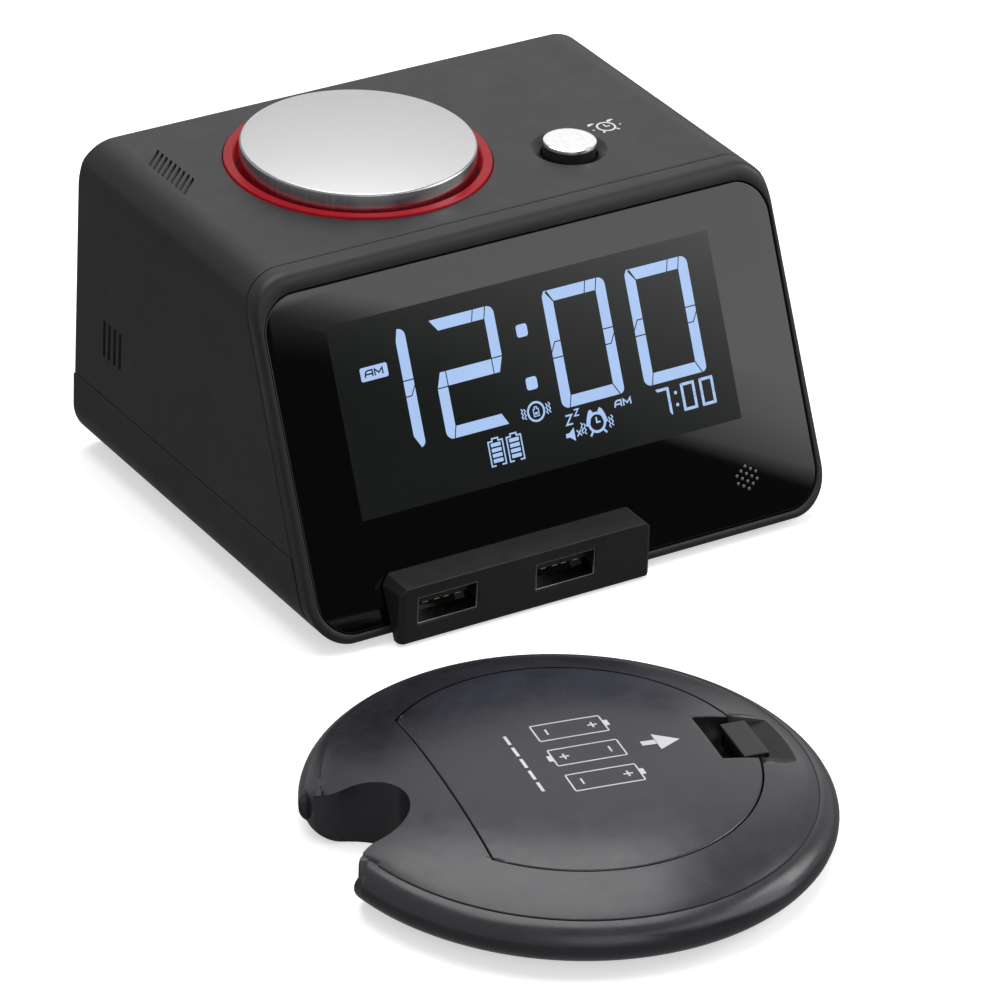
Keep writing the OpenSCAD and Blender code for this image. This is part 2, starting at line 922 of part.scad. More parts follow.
module shaker_base() {
    color("#2c2b33") place_shaker() difference() {
        union() {
            difference() {
                lower_solid();
                lower_cavity();
            }
            intersection() {
                lower_solid();
                translate([0, 0, -cut]) linear_extrude(seam_z + 2 * cut) notch_2d(shaker_wall);
            }
            intersection() {
                lower_solid();
                at_shaker_screws() cylinder(r = shaker_boss_r, h = seam_z);
            }
            for (x = [-shaker_post_x, shaker_post_x])
                translate([x, shaker_post_y, shaker_wall / 2])
                    cylinder(r = shaker_post_r, h = shaker_board_z - shaker_wall / 2);
        }
        translate([0, 0, -cut]) linear_extrude(seam_z + 3 * cut) notch_2d(0);
        at_shaker_screws() {
            translate([0, 0, -cut])
                cylinder(r = shaker_head_r + move_gap, h = shaker_seat_z + cut);
            cylinder(r = shaker_screw_r + fixed_gap, h = seam_z + cut);
        }
    }
}

module shaker_cover() {
    color("#33323a") place_shaker() difference() {
        union() {
            difference() {
                upper_solid();
                rotate_extrude() polygon(concat(
                    [[0, seam_z - cut]], [[seam_r - shaker_wall - seam_lip, seam_z - cut]],
                    dome_arc(seam_r - shaker_wall - seam_lip, 0, shaker_wall)
                ));
            }
            intersection() {
                upper_solid();
                union() {
                    translate([0, 0, seam_z]) linear_extrude(far) notch_2d(shaker_wall);
                    translate([0, 0, seam_z]) at_shaker_screws() cylinder(r = shaker_boss_r, h = far);
                    translate([door_r - ramp_side, -latch_w / 2 - ramp_side, ramp_z - ramp_t])
                        cube([latch_out_x - door_r + ramp_end, latch_w + 2 * ramp_side, far]);
                }
            }
        }
        translate([0, 0, -cut]) linear_extrude(far) notch_2d(0);
        translate([0, 0, -cut]) linear_extrude(far) door_2d(0);
        translate([door_r - ramp_end, -latch_w / 2, ramp_z])
            cube([latch_out_x - door_r + ramp_end, latch_w, far]);
        at_shaker_screws() cylinder(r = shaker_screw_r, h = seam_z + shaker_bore_l);
    }
}

module battery_door() {
    color("#36353d") place_shaker() difference() {
        union() {
            intersection() {
                difference() {
                    upper_solid();
                    translate([0, 0, -door_t]) upper_solid();
                }
                linear_extrude(far) door_2d(move_gap);
                translate([-far / 2, -far / 2, seam_z + door_seam_gap]) cube([far, far, far]);
            }
            // Finger well behind the latch
            intersection() {
                translate([0, 0, -door_t / 2]) upper_solid_tall();
                linear_extrude(far) door_2d(move_gap + well_draw);
                translate([latch_gap_x - well_wall, -latch_w / 2 - well_wall, well_depth_z])
                    cube([door_r, latch_w + 2 * well_wall, far]);
            }
            // Hooks that reach under the cover along the straight edge
            for (y = [-hook_y, hook_y]) {
                intersection() {
                    translate([0, 0, -door_t / 2]) upper_solid_tall();
                    translate([move_gap - door_chord, y - hook_w / 2, hook_z])
                        cube([hook_w / 2, hook_w, far]);
                }
                translate([-door_chord - hook_reach, y - hook_w / 2, hook_z])
                    cube([hook_w / 2 + hook_reach, hook_w, hook_t]);
            }
        }
        translate([latch_gap_x, -latch_w / 2, well_depth_z + finger_floor_t])
            cube([door_r, latch_w, far]);
    }
}

// The whole height of the shaker above its middle, for the finger well
module upper_solid_tall() {
    rotate_extrude() polygon(concat([[0, rim_z], [seam_r, rim_z]], dome_arc(seam_r, 0, 0)));
}

module door_latch() {
    color("#3c3b43") place_shaker() {
        translate([leaf_x, -latch_tab_w / 2, latch_foot_z])
            cube([leaf_t, latch_tab_w, latch_top_z - latch_foot_z]);
        translate([leaf_x - latch_tab_t, -latch_tab_w / 2, latch_top_z - latch_tab_t])
            cube([latch_tab_l, latch_tab_w, latch_tab_t]);
    }
}

module battery_tray() {
    color("#1d1d20") place_shaker() difference() {
        translate([-tray_w / 2 - tray_wall, -tray_l / 2 - tray_wall, shaker_wall])
            cube([tray_w + 2 * tray_wall, tray_l + 2 * tray_wall, tray_top - shaker_wall]);
        translate([-tray_w / 2, -tray_l / 2, shaker_wall - cut])
            cube([tray_w, tray_l, tray_top]);
    }
}

// Places a child at each cell, with +Y towards that cell's positive end
module at_cells() {
    for (i = [-1 : 1]) translate([i * aaa_pitch, 0, aaa_z])
        rotate([0, 0, i == 0 ? 180 : 0]) children();
}

module aaa_cells() {
    end_y = tray_l / 2 - plate_t;
    color("#b9a24a") place_shaker() at_cells() {
        translate([0, end_y - aaa_nub_l, 0]) rotate([90, 0, 0]) cylinder(r = aaa_r, h = aaa_l);
        translate([0, end_y, 0]) rotate([90, 0, 0])
            cylinder(r = aaa_nub_r, h = aaa_nub_l + nub_overlap, $fn = 32);
    }
}

module contact_springs() {
    y0 = plate_t - tray_l / 2;
    y1 = tray_l / 2 - plate_t - aaa_nub_l - aaa_l;
    color("#c9cbce") place_shaker() at_cells() difference() {
        translate([0, y1, 0]) rotate([90, 0, 0])
            cylinder(r1 = spring_r - spring_taper, r2 = spring_r, h = y1 - y0, $fn = 32);
        translate([0, y1 + cut, 0]) rotate([90, 0, 0])
            cylinder(r = spring_tube_r, h = y1 - y0 + 2 * cut, $fn = 32);
    }
}

module contact_plates() {
    color("#c9cbce") place_shaker() at_cells() for (s = [-1, 1])
        translate([-plate_w / 2, s * (tray_l / 2 - plate_t / 2) - plate_t / 2, -plate_w / 2])
            cube([plate_w, plate_t, plate_w]);
}

module shaker_board() {
    color("#1d5b35") place_shaker()
        translate([shaker_board_at.x, shaker_board_at.y, shaker_board_z]) cube(shaker_board_size);
}

module along_motor(x0, x1, r) {
    translate([x0, motor_y, motor_z]) rotate([0, 90, 0]) cylinder(r = r, h = x1 - x0);
}

module motor_can() {
    color("#a4a7ab") place_shaker() difference() {
        along_motor(motor_x0, motor_x1, motor_r);
        along_motor(motor_x0 + motor_end, motor_x1 + cut, motor_shaft_r + run_fit);
    }
}

module motor_shaft() {
    color("#d8dadd") place_shaker()
        along_motor(motor_x0 + motor_end + move_gap, weight_x1 + shaft_end, motor_shaft_r);
}

module eccentric_weight() {
    color("#8d8f92") place_shaker() difference() {
        union() {
            intersection() {
                along_motor(weight_x0, weight_x1, motor_r);
                translate([weight_x0 - cut, motor_y - motor_r, motor_z - far])
                    cube([weight_x1, 2 * motor_r, far]);
            }
            along_motor(weight_x0, weight_x1, weight_hub_r);
        }
        along_motor(weight_x0 - cut, weight_x1 + cut, motor_shaft_r);
    }
}

module motor_cradle() {
    color("#1d1d20") place_shaker() difference() {
        intersection() {
            translate([motor_x0 + motor_end, motor_y - motor_r - cradle_wall, 0])
                cube([cradle_l, 2 * (motor_r + cradle_wall), motor_z]);
            lower_cavity();
        }
        along_motor(motor_x0, motor_x1, motor_r);
    }
}

module shaker_screws() {
    color("#8a8d90") place_shaker() at_shaker_screws() {
        translate([0, 0, shaker_head_z])
            cylinder(r = shaker_head_r, h = shaker_seat_z - shaker_head_z, $fn = 32);
        translate([0, 0, shaker_seat_z])
            cylinder(r = shaker_screw_r, h = seam_z - shaker_seat_z + shaker_thread_l, $fn = 32);
    }
}

translate([-set_x, -set_y, 0]) {
    upper_housing();
    base_cover();
    front_bezel();
    front_lens();
    lcd_panel();
    lcd_backlight();
    main_board();
    board_screws();
    knob_cap();
    encoder_shaft();
    encoder_rotor();
    encoder_body();
    ring_light();
    ring_leds();
    knob_well();
    knob_board();
    button_cap();
    button_plunger();
    button_switch();
    usb_ledge();
    usb_shell_left();
    usb_shell_right();
    usb_tongue_left();
    usb_tongue_right();
    usb_board();
    speaker_basket();
    speaker_cone();
    speaker_magnet();
    dc_jack();
    dc_pin();
    radio_module();
    coin_cell();
    cell_holder();
    cell_door();
    rubber_feet();
    case_screws();
    shaker_base();
    shaker_cover();
    battery_door();
    door_latch();
    battery_tray();
    aaa_cells();
    contact_springs();
    contact_plates();
    shaker_board();
    motor_can();
    motor_shaft();
    eccentric_weight();
    motor_cradle();
    shaker_screws();
}
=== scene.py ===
# %% [markdown]
# # A bedside alarm clock and its bed shaker
#
# The clock is a wedge of satin black plastic with a sloping gloss display, a big silver
# knob in a red light ring, a small alarm button and a ledge with two charging sockets.
# Beside it lies a flat round shaker that goes under the pillow. The construction comes
# from a fixed frame of solids at their real size. This lesson gives each visible piece
# its finished shape and its material.

# %% Load the fixed frame
import math

import bmesh
import bpy
from mathutils import Matrix, Vector


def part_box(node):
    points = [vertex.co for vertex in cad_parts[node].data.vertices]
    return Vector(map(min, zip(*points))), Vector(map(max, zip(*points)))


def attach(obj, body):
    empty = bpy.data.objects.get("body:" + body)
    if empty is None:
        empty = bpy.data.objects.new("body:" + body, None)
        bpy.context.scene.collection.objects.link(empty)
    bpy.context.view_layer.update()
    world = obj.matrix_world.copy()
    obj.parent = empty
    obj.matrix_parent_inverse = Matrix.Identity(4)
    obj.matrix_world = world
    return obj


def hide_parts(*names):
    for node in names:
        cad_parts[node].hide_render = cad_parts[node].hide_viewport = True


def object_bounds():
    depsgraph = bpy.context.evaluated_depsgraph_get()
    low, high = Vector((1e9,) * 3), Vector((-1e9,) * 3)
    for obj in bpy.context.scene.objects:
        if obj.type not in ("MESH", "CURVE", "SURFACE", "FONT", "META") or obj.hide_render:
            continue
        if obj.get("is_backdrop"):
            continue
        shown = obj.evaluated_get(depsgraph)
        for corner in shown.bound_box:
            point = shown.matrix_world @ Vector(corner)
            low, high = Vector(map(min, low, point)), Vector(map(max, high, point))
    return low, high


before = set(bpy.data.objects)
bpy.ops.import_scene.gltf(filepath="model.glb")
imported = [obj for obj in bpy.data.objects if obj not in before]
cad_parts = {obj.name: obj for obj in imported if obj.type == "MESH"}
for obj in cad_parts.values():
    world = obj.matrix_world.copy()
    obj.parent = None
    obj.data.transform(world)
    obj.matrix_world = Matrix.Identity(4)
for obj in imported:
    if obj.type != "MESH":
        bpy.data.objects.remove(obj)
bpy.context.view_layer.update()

# %% [markdown]
# ## Where things are
#
# All sizes below are millimetres, read in the clock's own frame: x from the middle of
# the case, y from the foot of the sloping face, z up from the table. The two origins
# are worked out from the frame's solids, so nothing has to be fitted by eye.

# %% Origins of the clock and of the shaker
MM = 0.001
CASE_W = 114.3
CASE_D = 93.0
CASE_H = 64.8
EDGE_R = 8.3
FOOT_H = 1.5
PARTING_Z = 16.3
WALL = 2.2
LEAN = math.radians(24.4)
SIN_L = math.sin(LEAN)
COS_L = math.cos(LEAN)
TAN_L = math.tan(LEAN)

bezel_low, bezel_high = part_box("front_bezel")
base_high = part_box("base_cover")[1]
CLOCK_X = (bezel_low.x + bezel_high.x) / 2 / MM
CLOCK_Y = base_high.y / MM - CASE_D

shaker_low, shaker_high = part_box("shaker_base")
SHAKER_R = (shaker_high.y - shaker_low.y) / 2 / MM
SHAKER_X = shaker_high.x / MM - SHAKER_R
SHAKER_Y = (shaker_high.y + shaker_low.y) / 2 / MM
SHAKER_TURN = math.radians(-11)
print("clock origin", CLOCK_X, CLOCK_Y, "shaker", SHAKER_X, SHAKER_Y, "radius", SHAKER_R)


def at_clock(x, y, z):
    """A point of the clock's frame, as a place in the scene in metres."""
    return Vector((x + CLOCK_X, y + CLOCK_Y, z)) * MM


def at_face(u, v, out=0.0):
    """A point on the sloping face: u across, v up the slope, out of the face."""
    return at_clock(u, v * SIN_L - out * COS_L, FOOT_H + v * COS_L + out * SIN_L)


def at_shaker(x, y, z):
    """A point of the shaker's frame, whose +X points from the notch to the latch."""
    c, s = math.cos(SHAKER_TURN), math.sin(SHAKER_TURN)
    return Vector((SHAKER_X + x * c - y * s, SHAKER_Y + x * s + y * c, z)) * MM


# %% [markdown]
# ## The camera
#
# The photograph was taken with a long lens from the front left and above. The camera's
# place was found by matching the case's edges, and the numbers below are that match: a
# turn round the object, a height angle, a slight roll, and the place in the clock's
# frame. The lens is given as the focal length in picture widths.

# %% Camera
VIEW_TURN = math.radians(-33.296)
VIEW_TILT = math.radians(29.369)
VIEW_ROLL = math.radians(2.47)
VIEW_PLACE = (-587.15, -865.05, 606.58)
LENS_IN_FRAMES = 6.4631
SENSOR = 36.0

back = Vector((math.sin(VIEW_TURN) * math.cos(VIEW_TILT),
               -math.cos(VIEW_TURN) * math.cos(VIEW_TILT),
               math.sin(VIEW_TILT)))
right = Vector((math.cos(VIEW_TURN), math.sin(VIEW_TURN), 0))
up = back.cross(right)
rolled_right = right * math.cos(VIEW_ROLL) + up * math.sin(VIEW_ROLL)
rolled_up = up * math.cos(VIEW_ROLL) - right * math.sin(VIEW_ROLL)

camera_data = bpy.data.cameras.new("camera")
camera_data.lens = LENS_IN_FRAMES * SENSOR
camera_data.sensor_width = SENSOR
camera_data.clip_end = 20
camera = bpy.data.objects.new("camera", camera_data)
bpy.context.scene.collection.objects.link(camera)
place = at_clock(*VIEW_PLACE)
camera.matrix_world = Matrix((
    (rolled_right.x, rolled_up.x, back.x, place.x),
    (rolled_right.y, rolled_up.y, back.y, place.y),
    (rolled_right.z, rolled_up.z, back.z, place.z),
    (0, 0, 0, 1),
))
bpy.context.scene.camera = camera
print("camera at", tuple(round(c, 3) for c in place), "lens", round(camera_data.lens, 1))

# %% [markdown]
# ## Light, floor and background
#
# A studio sweep: a pale floor and a white surround. The world is dim for the surfaces
# it lights, grey in reflections, and white for the camera or through a pane of glass.
# Soft area lamps model the form. The floor is grey in reflections too, which keeps
# black plastic black down its sides.

# %% World and floor
FLOOR_SIZE = 6.0
FLOOR_GLOW = 0.55
FLOOR_MIRRORED = 0.24
WORLD_LIGHT = 0.35
MIRROR_LIGHT = 0.4

scene = bpy.context.scene
scene.view_settings.view_transform = "Standard"
world = bpy.data.worlds.new("studio")
world.use_nodes = True
scene.world = world
nodes = world.node_tree.nodes
links = world.node_tree.links
nodes.clear()
out = nodes.new("ShaderNodeOutputWorld")
shade = nodes.new("ShaderNodeBackground")
shade.inputs["Color"].default_value = (1, 1, 1, 1)
path = nodes.new("ShaderNodeLightPath")


def maximum(tree, a, b):
    """A Math node giving the larger of two sockets."""
    node = tree.nodes.new("ShaderNodeMath")
    node.operation = "MAXIMUM"
    tree.links.new(a, node.inputs[0])
    tree.links.new(b, node.inputs[1])
    return node.outputs[0]


glossy = nodes.new("ShaderNodeMath")
glossy.operation = "MULTIPLY"
glossy.inputs[1].default_value = MIRROR_LIGHT
links.new(path.outputs["Is Glossy Ray"], glossy.inputs[0])
seen = maximum(world.node_tree, path.outputs["Is Camera Ray"], glossy.outputs[0])
seen = maximum(world.node_tree, seen, path.outputs["Is Transmission Ray"])
level = nodes.new("ShaderNodeMapRange")
level.inputs["To Min"].default_value = WORLD_LIGHT
level.inputs["To Max"].default_value = 1.0
links.new(seen, level.inputs["Value"])
links.new(level.outputs["Result"], shade.inputs["Strength"])
links.new(shade.outputs["Background"], out.inputs["Surface"])


def shadow_catching_white(name, brightness, mirrored):
    """White with a soft shadow for the camera, and a plain grey glow for mirrors."""
    material = bpy.data.materials.new(name)
    material.use_nodes = True
    tree = material.node_tree
    tree.nodes.clear()
    end = tree.nodes.new("ShaderNodeOutputMaterial")
    matt = tree.nodes.new("ShaderNodeBsdfDiffuse")
    matt.inputs["Color"].default_value = (0.82, 0.82, 0.82, 1)
    glow = tree.nodes.new("ShaderNodeEmission")
    glow.inputs["Color"].default_value = (1, 1, 1, 1)
    ray = tree.nodes.new("ShaderNodeLightPath")
    visible = maximum(tree, ray.outputs["Is Camera Ray"], ray.outputs["Is Transmission Ray"])
    lift = tree.nodes.new("ShaderNodeMath")
    lift.operation = "MULTIPLY"
    lift.inputs[1].default_value = brightness
    tree.links.new(visible, lift.inputs[0])
    tree.links.new(lift.outputs[0], glow.inputs["Strength"])
    both = tree.nodes.new("ShaderNodeAddShader")
    tree.links.new(matt.outputs[0], both.inputs[0])
    tree.links.new(glow.outputs[0], both.inputs[1])
    grey = tree.nodes.new("ShaderNodeEmission")
    grey.inputs["Color"].default_value = (mirrored, mirrored, mirrored, 1)
    choice = tree.nodes.new("ShaderNodeMixShader")
    tree.links.new(ray.outputs["Is Glossy Ray"], choice.inputs[0])
    tree.links.new(both.outputs[0], choice.inputs[1])
    tree.links.new(grey.outputs[0], choice.inputs[2])
    tree.links.new(choice.outputs[0], end.inputs["Surface"])
    return material


def stage_plane(name, centre, half_x, half_y, material):
    """A flat quad given by its centre and two half-edge vectors."""
    mesh = bpy.data.meshes.new(name)
    corners = [centre - half_x - half_y, centre + half_x - half_y,
               centre + half_x + half_y, centre - half_x + half_y]
    mesh.from_pydata([tuple(c) for c in corners], [], [(0, 1, 2, 3)])
    piece = bpy.data.objects.new(name, mesh)
    scene.collection.objects.link(piece)
    mesh.materials.append(material)
    piece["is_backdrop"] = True
    return piece


stage_plane("studio_floor", Vector((0, 0, 0)), Vector((FLOOR_SIZE / 2, 0, 0)),
            Vector((0, FLOOR_SIZE / 2, 0)),
            shadow_catching_white("floor_white", FLOOR_GLOW, FLOOR_MIRRORED))
print("floor", FLOOR_SIZE, "m wide")

# %% Lamps


def soft_lamp(name, where, aim, size, watts):
    """A square area lamp at a place in metres, turned to face a point."""
    data = bpy.data.lights.new(name, "AREA")
    data.shape = "RECTANGLE"
    data.size = size[0]
    data.size_y = size[1]
    data.energy = watts
    lamp = bpy.data.objects.new(name, data)
    scene.collection.objects.link(lamp)
    lamp.location = where
    direction = Vector(aim) - Vector(where)
    lamp.rotation_euler = direction.to_track_quat("-Z", "Y").to_euler()
    return lamp


soft_lamp("top_light", (0.1, 0.35, 1.3), (0, 0, 0.03), (1.1, 1.1), 13)
soft_lamp("right_light", (1.1, -0.35, 0.75), (0, 0, 0.04), (0.7, 0.7), 7)
soft_lamp("front_fill", (-0.35, -1.3, 0.9), (0, 0, 0.03), (0.9, 0.9), 3)

# %% [markdown]
# Polished black shows what stands in front of it. The lens is dark at its left and
# brighter at its right, so the card below fades from dark to bright and the lens mirrors
# it. A second, even card behind the set brightens the top of the case. Only mirrors see
# the two cards: the camera and diffuse light don't.

# %% The card that the lens mirrors
CARD_AIM = Vector((0.478, -0.85, 0.225))
CARD_AWAY = 0.62
CARD_HALF = 0.34
CARD_DARK = 0.02
CARD_BRIGHT = 2.4
CARD_RISE = (4.6, 5.4, -4.98)


def mirror_card():
    """A panel that glows from dark at its left to bright at its right, for mirrors."""
    material = bpy.data.materials.new("mirror_card")
    material.use_nodes = True
    tree = material.node_tree
    tree.nodes.clear()
    end = tree.nodes.new("ShaderNodeOutputMaterial")
    glow = tree.nodes.new("ShaderNodeEmission")
    where = tree.nodes.new("ShaderNodeUVMap")
    split = tree.nodes.new("ShaderNodeSeparateXYZ")
    ramp = tree.nodes.new("ShaderNodeValToRGB")
    rise = tree.nodes.new("ShaderNodeMath")
    rise.operation = "MULTIPLY_ADD"
    rise.inputs[1].default_value = CARD_RISE[1]
    rise.inputs[2].default_value = CARD_RISE[2]
    mix = tree.nodes.new("ShaderNodeMath")
    mix.operation = "MULTIPLY_ADD"
    mix.inputs[1].default_value = CARD_RISE[0]
    tree.links.new(where.outputs["UV"], split.inputs["Vector"])
    tree.links.new(split.outputs["Y"], rise.inputs[0])
    tree.links.new(split.outputs["X"], mix.inputs[0])
    tree.links.new(rise.outputs[0], mix.inputs[2])
    fade = ramp.color_ramp
    fade.interpolation = "B_SPLINE"
    fade.elements[0].position = 0.0
    fade.elements[0].color = (CARD_DARK / CARD_BRIGHT,) * 3 + (1,)
    fade.elements[1].position = 1.0
    fade.elements[1].color = (1, 1, 1, 1)
    for place, level in ((0.22, 0.10), (0.6, 0.42), (0.87, 0.9)):
        fade.elements.new(place).color = (level, level, level, 1)
    tree.links.new(mix.outputs[0], ramp.inputs["Fac"])
    tree.links.new(ramp.outputs["Color"], glow.inputs["Color"])
    glow.inputs["Strength"].default_value = CARD_BRIGHT
    tree.links.new(glow.outputs[0], end.inputs["Surface"])
    return material


card_side = CARD_AIM.cross(Vector((0, 0, 1))).normalized()
card_up = card_side.cross(CARD_AIM).normalized()
card = stage_plane("mirror_card", at_face(0, 34) + CARD_AIM.normalized() * CARD_AWAY,
                   card_side * -CARD_HALF, card_up * CARD_HALF, mirror_card())
card_uv = card.data.uv_layers.new(name="card")
for loop, corner in zip(card_uv.data, ((0, 0), (1, 0), (1, 1), (0, 1))):
    loop.uv = corner


def glowing(name, strength):
    """A material that only glows."""
    material = bpy.data.materials.new(name)
    material.use_nodes = True
    tree = material.node_tree
    tree.nodes.clear()
    end = tree.nodes.new("ShaderNodeOutputMaterial")
    glow = tree.nodes.new("ShaderNodeEmission")
    glow.inputs["Strength"].default_value = strength
    tree.links.new(glow.outputs[0], end.inputs["Surface"])
    return material


BACK_AIM = Vector((0.50, 0.73, 0.50)).normalized()
back_side = BACK_AIM.cross(Vector((0, 0, 1))).normalized()
back_card = stage_plane("back_card", Vector((0.1, 0.1, 0.06)) + BACK_AIM * 0.8,
                        back_side * 0.42, back_side.cross(BACK_AIM) * 0.3,
                        glowing("back_card", 1.1))
for only_mirrored in (card, back_card):
    only_mirrored.visible_camera = False
    only_mirrored.visible_diffuse = False
    only_mirrored.visible_shadow = False
    only_mirrored.visible_transmission = False

# %% [markdown]
# ## Materials
#
# Moulded plastic isn't one flat colour: its gloss drifts a little over the surface and
# a fine spark texture breaks the highlights. One recipe serves every moulded piece.
# Noise on Object coordinates drives the roughness and a small bump, so the pattern
# stays fixed to the piece from any side.

# %% Material recipes


def blank_material(name):
    """An empty node material and its Principled shader."""
    material = bpy.data.materials.new(name)
    material.use_nodes = True
    shader = material.node_tree.nodes["Principled BSDF"]
    return material, shader


def noise(material, scale, detail=2.0, stretch=(1, 1, 1)):
    """Noise on Object coordinates; the scale is in cycles a metre."""
    tree = material.node_tree
    place_on = tree.nodes.new("ShaderNodeTexCoord")
    size = tree.nodes.new("ShaderNodeMapping")
    size.inputs["Scale"].default_value = stretch
    pattern = tree.nodes.new("ShaderNodeTexNoise")
    pattern.inputs["Scale"].default_value = scale
    pattern.inputs["Detail"].default_value = detail
    tree.links.new(place_on.outputs["Object"], size.inputs["Vector"])
    tree.links.new(size.outputs["Vector"], pattern.inputs["Vector"])
    return pattern.outputs["Fac"]


def spread(material, source, low, high, socket):
    """Sends a 0 to 1 pattern to a socket as values between low and high."""
    tree = material.node_tree
    span = tree.nodes.new("ShaderNodeMapRange")
    span.inputs["From Min"].default_value = 0.3
    span.inputs["From Max"].default_value = 0.7
    span.inputs["To Min"].default_value = low
    span.inputs["To Max"].default_value = high
    tree.links.new(source, span.inputs["Value"])
    tree.links.new(span.outputs["Result"], socket)


def tint(material, source, dark, light, socket):
    """Sends a pattern to a colour socket as a blend of two colours."""
    tree = material.node_tree
    ramp = tree.nodes.new("ShaderNodeValToRGB")
    ramp.color_ramp.elements[0].position = 0.3
    ramp.color_ramp.elements[1].position = 0.7
    ramp.color_ramp.elements[0].color = (*dark, 1)
    ramp.color_ramp.elements[1].color = (*light, 1)
    tree.links.new(source, ramp.inputs["Fac"])
    tree.links.new(ramp.outputs["Color"], socket)


def bump(material, source, depth_mm, strength=1.0):
    """A small relief from a pattern, its depth in millimetres."""
    tree = material.node_tree
    relief = tree.nodes.new("ShaderNodeBump")
    relief.inputs["Strength"].default_value = strength
    relief.inputs["Distance"].default_value = depth_mm * MM
    tree.links.new(source, relief.inputs["Height"])
    tree.links.new(relief.outputs["Normal"],
                   material.node_tree.nodes["Principled BSDF"].inputs["Normal"])


def moulded(name, colour, roughness, grain=2600, depth=0.006, gloss=0.5, sheen=0.0):
    """Moulded plastic: a colour that drifts a little, uneven gloss and a fine texture."""
    material, shader = blank_material(name)
    tint(material, noise(material, 60), [c * 0.86 for c in colour],
         [c * 1.12 for c in colour], shader.inputs["Base Color"])
    spread(material, noise(material, 240, 3), roughness - 0.04, roughness + 0.05,
           shader.inputs["Roughness"])
    bump(material, noise(material, grain, 1), depth)
    shader.inputs["Specular IOR Level"].default_value = gloss
    shader.inputs["Sheen Weight"].default_value = sheen
    return material


def metal(name, colour, roughness, stretch=(1, 1, 1), grain=900, depth=0.002):
    """Bare metal with a directional grain in its gloss."""
    material, shader = blank_material(name)
    shader.inputs["Metallic"].default_value = 1.0
    grain_map = noise(material, grain, 3, stretch)
    tint(material, grain_map, [c * 0.9 for c in colour], colour, shader.inputs["Base Color"])
    spread(material, grain_map, roughness - 0.05, roughness + 0.07, shader.inputs["Roughness"])
    bump(material, grain_map, depth, 0.6)
    return material


def lit(name, colour, strength, base=None):
    """A surface that is lit from behind: a diffuse colour that also glows."""
    material, shader = blank_material(name)
    base = base or colour
    drift = noise(material, 150)
    tint(material, drift, [c * 0.92 for c in base], base, shader.inputs["Base Color"])
    tint(material, drift, [c * 0.94 for c in colour], colour, shader.inputs["Emission Color"])
    shader.inputs["Emission Strength"].default_value = strength
    shader.inputs["Roughness"].default_value = 0.25
    return material


# %% The finishes of this object
case_black = moulded("case_black", (0.0125, 0.0122, 0.0142), 0.40, gloss=0.31)
base_black = moulded("base_black", (0.0115, 0.0113, 0.013), 0.44, gloss=0.3)
ledge_black = moulded("ledge_black", (0.0105, 0.0103, 0.0112), 0.42, gloss=0.26)
inner_black = moulded("inner_black", (0.010, 0.010, 0.011), 0.5, gloss=0.3)
skirt_black = moulded("skirt_black", (0.016, 0.016, 0.018), 0.34, gloss=0.4)
foot_rubber = moulded("foot_rubber", (0.012, 0.012, 0.012), 0.7, 1500, 0.02, 0.25)
shaker_shell = moulded("shaker_shell", (0.017, 0.0157, 0.021), 0.25, 3200, 0.004, 0.46)
# painted shade: a darker, duller black for the latch recess walls and the strip in the seam
# groove
painted_shade_black = moulded("painted_shade_black", (0.007, 0.007, 0.008), 0.5, gloss=0.2)
latch_black = moulded("latch_black", (0.006, 0.006, 0.007), 0.3, 3200, 0.003, 0.36)
light_guide = moulded("light_guide", (0.75, 0.79, 0.86), 0.3, depth=0.002)
led_white = moulded("led_white", (0.8, 0.76, 0.6), 0.35, depth=0.002)
cell_wrap = moulded("cell_wrap", (0.42, 0.30, 0.08), 0.28, depth=0.002)
print_white = moulded("print_white", (0.62, 0.63, 0.65), 0.45, depth=0.001)
knob_face = metal("knob_face", (0.50, 0.50, 0.505), 0.5, (1, 1, 1), 1800, 0.001)
knob_side = metal("knob_side", (0.42, 0.42, 0.44), 0.2, (1, 1, 0.02), 1500, 0.001)
button_silver = metal("button_silver", (0.90, 0.90, 0.91), 0.2, grain=1400, depth=0.001)
socket_metal = metal("socket_metal", (0.20, 0.20, 0.205), 0.3)
spring_steel = metal("spring_steel", (0.70, 0.70, 0.72), 0.25)
shaft_steel = metal("shaft_steel", (0.60, 0.60, 0.62), 0.28, (1, 1, 0.05))
can_metal = metal("can_metal", (0.55, 0.56, 0.58), 0.32)
contact_brass = metal("contact_brass", (0.72, 0.53, 0.22), 0.25)
screw_steel = metal("screw_steel", (0.40, 0.40, 0.42), 0.35)
board_green = moulded("board_green", (0.02, 0.11, 0.045), 0.3, 1800, 0.01, 0.5)
board_blue = moulded("board_blue", (0.02, 0.07, 0.16), 0.3, 1800, 0.01, 0.5)
cone_paper = moulded("cone_paper", (0.020, 0.020, 0.022), 0.75, 1200, 0.03, 0.2)
weight_metal = metal("weight_metal", (0.35, 0.35, 0.36), 0.55, grain=2200, depth=0.02)
ring_red = lit("ring_red", (0.78, 0.012, 0.03), 0.17, (0.2, 0.003, 0.006))
ring_red.node_tree.nodes["Principled BSDF"].inputs["Specular IOR Level"].default_value = 0.12
segment_blue = lit("segment_blue", (0.40, 0.57, 0.89), 0.96, (0.02, 0.03, 0.05))
print("materials:", len(bpy.data.materials))

# %% [markdown]
# ## From a solid to a finished moulding
#
# The frame's solids have the right size but knife-sharp edges, and no moulding has
# those. A copy of the solid is merged, its flat faces are dissolved into single
# polygons, and each crease gets its own small radius: the crease's midpoint picks a
# width, which is stored as the edge's bevel weight. Weighted normals keep the flats
# flat next to the rounded edges. This is why the edges catch a thin line of light.

# %% Helpers that finish a copy of a solid
EDGE_UNIT = 1.0


